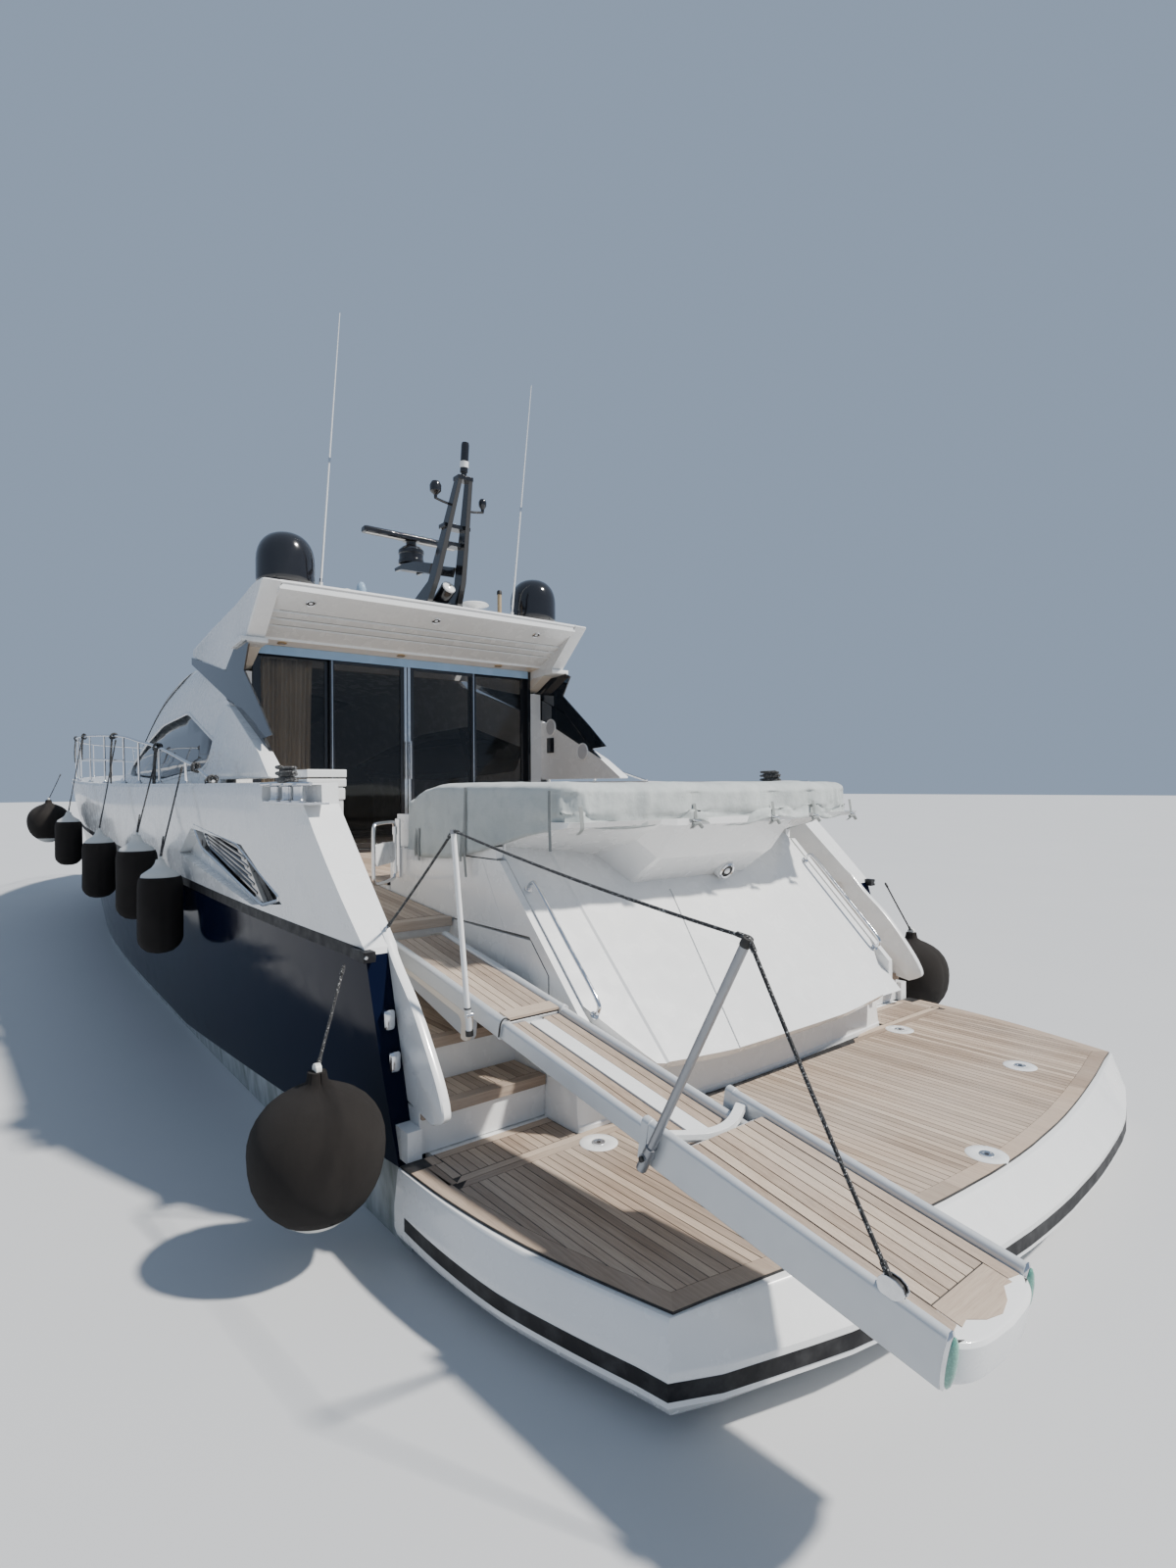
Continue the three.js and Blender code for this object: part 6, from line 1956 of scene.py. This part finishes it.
BLADE_EDGE = [(1.06, 1.67), (0.965, 1.602), (0.90, 1.548), (0.784, 1.416), (0.585, 1.24), (0.434, 1.067),
              (0.30, 0.89), (0.238, 0.771), (0.250, 0.715), (0.345, 0.668)]


def make_quarters():
    """The blade inside each quarter, the cleats in its navy face and the end of the rub rail."""
    for name, side in SIDES:
        make_blade(name, side)
        make_cleats(name, side)
        cap = Piece("rub_rail_end_" + name)
        end = [P(x, side * (2.48 + 0.012), 1.476) for x in (0.80, 1.0)]
        section = [(-0.034, -0.030), (0.034, -0.030), (0.038, 0.0), (0.034, 0.030), (-0.034, 0.030)]
        cap.add(sweep(end, section), RUBBER)
        cap.add(sweep([p + Vector((-0.006, side * 0.022, 0)) for p in end], circle(0.011, 10)), STEEL)
        cap.make("rub_rail", bevel=0.003)


def make_blade(name, side):
    line = smooth_line(BLADE_EDGE, 4)
    back = [(0.68, 0.72), (0.80, 1.1), (1.0, 1.45), (1.25, 1.80)]
    fin = Piece("quarter_blade_" + name)
    rows = []
    for y, d in ((2.305, 0.010), (2.312, 0.0), (2.350, 0.0), (2.358, 0.010)):
        outline = [(x + d, z) for x, z in line] + back
        rows.append([P(x, side * y, z + d * 0.5) for x, z in outline])
    fin.add(rings(rows), WHITE)
    fin.add(block(0.452, 0.80, side * 2.362, side * 2.445, 0.458, 0.62), WHITE)
    lamp = [(0, -0.002), (0.021, -0.002), (0.021, 0.006), (0, 0.007)]
    fin.add(lathe(lamp, P(0.345, side * 2.331, 0.676), (-0.35, 0, -0.93), 20), STEEL)
    fin.make("white_gelcoat", sharp=40)


def make_cleats(name, side):
    cleat = Piece("quarter_cleats_" + name)
    shape = rounded(rect(-0.030, 0.030, -0.056, 0.056), 0.020, 3)
    for z in (1.14, 0.93):
        at = P(0.493 + (z - 0.3) * 0.3117 - 0.010, side * 2.415, z)
        levels = ((-0.03, 0.8), (0.012, 1.0), (0.03, 0.96), (0.038, 0.7))
        cleat.add(rings([[at + Vector((-d, a * s, b * s)) for a, b in shape] for d, s in levels]), STEEL)
    cleat.make("stainless", sharp=50)


# Fenders.


FENDERS = [
    # x, bottom, height of the lanyard's end over the deck edge
    (4.64, 0.94, 0.20), (5.70, 1.11, 0.34), (8.20, 1.06, 0.60), (11.60, 1.21, 0.73),
]


def make_lanyard(name, fender, deck, sag):
    """The lanyard from its end at the deck down to the eye of its fender."""
    path = slack_line(deck, fender, sag, 14)
    length = sum((q - p).length for p, q in zip(path, path[1:]))
    lay_line(name, ("boat",), path)
    [tuple(p) for p in path]


def knot(piece, centre, size, turns, seed):
    """Loops of line wrapped round a rail."""
    steps = turns * 14
    points = []
    for i in range(steps):
        reach = size * 0.55 + noise.noise(Vector((i * 0.23, seed, 0))) * size * 0.5
        a = i * 2 * math.pi / 14
        points.append(centre + Vector(((i / steps - 0.5) * size * 1.6, math.cos(a) * reach,
                                       math.sin(a) * reach)))
    piece.add(sweep(points, circle(0.0075, 7)), BLACK_ROPE)


def loop_down(piece, centre, drop, width):
    """A bight of spare line hanging from the rail."""
    shares = ((-0.5, 0.02, 0.0), (-0.6, 0.035, -0.5), (-0.1, 0.03, -1.0), (0.5, 0.035, -0.55),
              (0.3, 0.02, 0.0))
    points = [centre + Vector((width * along, out, drop * down)) for along, out, down in shares]
    piece.add(tube(points, 0.007, 7, 8), BLACK_ROPE)


FENDER_BODY = [(0, -0.008), (0.06, -0.006), (0.110, 0.010), (0.150, 0.045), (0.175, 0.085), (0.185, 0.125),
               (0.186, 0.36), (0.185, 0.60), (0.178, 0.645), (0.168, 0.675), (0, 0.675)]
FENDER_CAP = [(0, 0.66), (0.160, 0.672), (0.150, 0.700), (0.110, 0.728), (0.070, 0.755), (0.045, 0.790),
              (0.034, 0.828), (0, 0.832)]


def make_fenders():
    for i, (x, z, rise) in enumerate(FENDERS):
        name = "fender_%d" % (i + 1)
        foot = P(x, linear(HULL, x) + 0.215, z)
        top = P(x, foot.y, z + 0.815)
        eye = top + Vector((0, 0, 0.015))
        fender = Piece(name + "_cover")
        fender.add(panelled(lathe(FENDER_BODY, foot, segments=48), foot, 4, 0.006), FENDER)
        fender.add(lathe(FENDER_CAP, foot, segments=32), FENDER_END)
        fender.add(lathe(washer(0.010, 0.024, 0.012), top + Vector((0, 0, 0.02)), (0, 1, 0), 16), FENDER_END)
        end = P(x + 0.012 * math.sin(i * 2.1), linear(HULL, x) + 0.03, linear(HULL, x, 2) + rise - 0.04)
        make_lanyard(name + "_lanyard", eye, end, 0.006)
        spare = [top + Vector((0.012, 0, 0.015)), top + Vector((0.012, -0.03, 0.22))]
        fender.add(sweep(spare, circle(0.0075, 8)), BLACK_ROPE)
        fender.make("fender_cover", sharp=50, stands_for=[name])


BALLS = [
    # what its pieces are called after, x, side, y, bottom
    ("bow", 14.10, PORT, 2.88, 1.43), ("port", 0.62, PORT, 2.85, 0.215),
    ("starboard", 0.62, STARBOARD, 2.85, 0.215),
]
BALL_BOTTOM = [(0, 0.0), (0.06, 0.006), (0.13, 0.038), (0.19, 0.082), (0.188, 0.0821), (0, 0.0821)]
BALL_BODY = [(0, 0.0821), (0.19, 0.082), (0.245, 0.135), (0.285, 0.195), (0.312, 0.26), (0.326, 0.33),
             (0.330, 0.40), (0.326, 0.455), (0.312, 0.51), (0.288, 0.56), (0.25, 0.608), (0.20, 0.648),
             (0.14, 0.680), (0.09, 0.70), (0.055, 0.725), (0.045, 0.775), (0, 0.78)]


def make_balls():
    for name, x, side, y, z in BALLS:
        foot = P(x, side * y, z)
        eye = foot + Vector((0, 0, 0.785))
        ball = Piece("ball_cover_" + name)
        ball.add(panelled(lathe(BALL_BODY, foot, segments=56), foot, 6, 0.009), FENDER)
        ball.add(lathe(BALL_BOTTOM, foot, segments=40), FENDER_END)
        ball.add(lathe(washer(0.014, 0.030, 0.014), eye, (0, 1, 0), 16), FENDER_END)
        make_lanyard("ball_lanyard_" + name, eye, P(x + 0.15, side * (y - 0.2), z + 1.25), 0.004)
        ball.make("fender_cover", sharp=50, stands_for=["ball_fender_" + name])


def panelled(shape, centre, panels, depth):
    """Draws a round cloth in along its sewn seams and lets it crease between them."""
    made = []
    for p in shape[0]:
        out = Vector((p.x - centre.x, p.y - centre.y, 0))
        angle = math.atan2(out.y, out.x) * panels / 2
        seam = math.exp(-((math.sin(angle)) / 0.10) ** 2)
        crease = 0.0035 * noise.noise(Vector((out.x * 9, out.y * 9, p.z * 5)))
        made.append(p + out.normalized() * (crease - depth * seam) if out.length > 0.03 else p)
    return made, shape[1]


TIES = [  # x, loops of spare line, how far they hang
    (13.89, 2, 0.5), (12.10, 3, 0.34), (8.97, 3, 0.62), (6.11, 3, 0.55), (4.51, 0, 0.0), (3.98, 0, 0.0),
]


def make_rail_ties():
    ties = Piece("rail_ties")
    for i, (x, loops, drop) in enumerate(TIES):
        at = rail_point(max(x, 3.95))
        knot(ties, at, 0.062, 5, i)
        for k in range(loops):
            hook = at + Vector((0.02 * k - 0.03, 0, -0.01))
            loop_down(ties, hook, drop * (0.6 + 0.25 * k), 0.07 + 0.02 * k)
    ties.make("cover_fabric")


# Under the water.


def make_running_gear():
    for name, _ in SIDES:
        for node in ("shaft_", "propeller_", "rudder_"):
            soften(node + name, BRONZE, 0.004)
    for name, side in SIDES:
        tabs = Piece("trim_tab_" + name)
        tabs.add(block(0.20, 0.448, side * 0.9, side * 2.1, -0.40, -0.385), STEEL)
        tabs.add(sweep([P(0.43, side * 1.5, -0.18), P(0.30, side * 1.5, -0.38)], circle(0.022, 14)), STEEL)
        tabs.make("stainless", bevel=0.003)


def make_stern():
    make_hull()
    make_topsides()
    make_rub_rail()
    make_platform()
    make_platform_teak()
    make_deck_plates()
    make_cockpit()
    make_steps()
    make_locker()
    make_lid()
    make_lid_fittings()
    make_garage_sides()
    make_cover()
    make_straps()
    make_gate()


def make_boarding_bridge():
    make_bridge_frame()
    make_bridge_teak()
    make_bridge_slide()
    make_slide_teak()
    make_bridge_lights()
    make_bridge_block()
    make_stanchions()
    make_bridge_lines()


def make_house():
    make_cabin()
    make_fins()
    make_window_rims()
    make_windows()
    make_screen_cover()
    make_hardtop()
    make_wings()
    make_hardtop_lights()
    make_doors()
    make_curtain()
    make_saloon()
    make_domes()
    make_whips()
    make_mast()
    make_scanner()
    make_roof_fittings()


def make_deck_gear():
    make_bow_rail()
    make_anchor()
    make_vents()
    make_fairleads()
    make_quarters()
    make_fenders()
    make_balls()
    make_rail_ties()
    make_running_gear()


make_stern()
make_boarding_bridge()
make_house()
make_deck_gear()


# Studio.

EYE = (-3.31, 4.27, 2.41)
YAW, PITCH, ROLL = 38.904, 0.096, -0.362  # degrees
LENS = 18.13


def make_camera():
    yaw, pitch, roll = (math.radians(a) for a in (YAW, PITCH, ROLL))
    ahead = Vector((math.cos(pitch) * math.cos(yaw), -math.cos(pitch) * math.sin(yaw), math.sin(pitch)))
    level = Vector((-math.sin(yaw), -math.cos(yaw), 0))
    up = level.cross(ahead)
    right = math.cos(roll) * level + math.sin(roll) * up
    top = math.cos(roll) * up - math.sin(roll) * level
    data = bpy.data.cameras.new("camera")
    data.lens = LENS
    data.clip_start, data.clip_end = 0.1, 400
    camera = bpy.data.objects.new("camera", data)
    camera.matrix_world = Matrix.Translation(P(*EYE)) @ Matrix((right, top, -ahead)).transposed().to_4x4()
    bpy.context.scene.collection.objects.link(camera)
    bpy.context.scene.camera = camera


def make_studio():
    floor = bpy.data.meshes.new("floor")
    size = 160
    floor.from_pydata([(x, y, 0) for x, y in rect(-size, size, -size, size)], [], [(0, 1, 2, 3)])
    pale = Finish("floor_paper", (0.55, 0.56, 0.57), 0.6)
    pale.paint(pale.blend(pale.noise(0.4, 3), (0.54, 0.55, 0.56), (0.58, 0.585, 0.59)))
    floor.materials.append(pale.material)
    ground = bpy.data.objects.new("floor", floor)
    bpy.context.scene.collection.objects.link(ground)

    sun = bpy.data.lights.new("key", "SUN")
    sun.energy, sun.angle, sun.color = 6.5, math.radians(3), (1.0, 0.965, 0.91)
    key = bpy.data.objects.new("key", sun)
    key.rotation_mode = "QUATERNION"
    key.rotation_quaternion = Vector((0.50, 0.42, -0.76)).to_track_quat("-Z", "Y")
    bpy.context.scene.collection.objects.link(key)

    world = bpy.data.worlds.new("studio")
    world.use_nodes = True
    back = world.node_tree.nodes["Background"]
    back.inputs["Color"].default_value = (0.36, 0.46, 0.62, 1)
    back.inputs["Strength"].default_value = 0.8
    bpy.context.scene.world = world


make_camera()
make_studio()
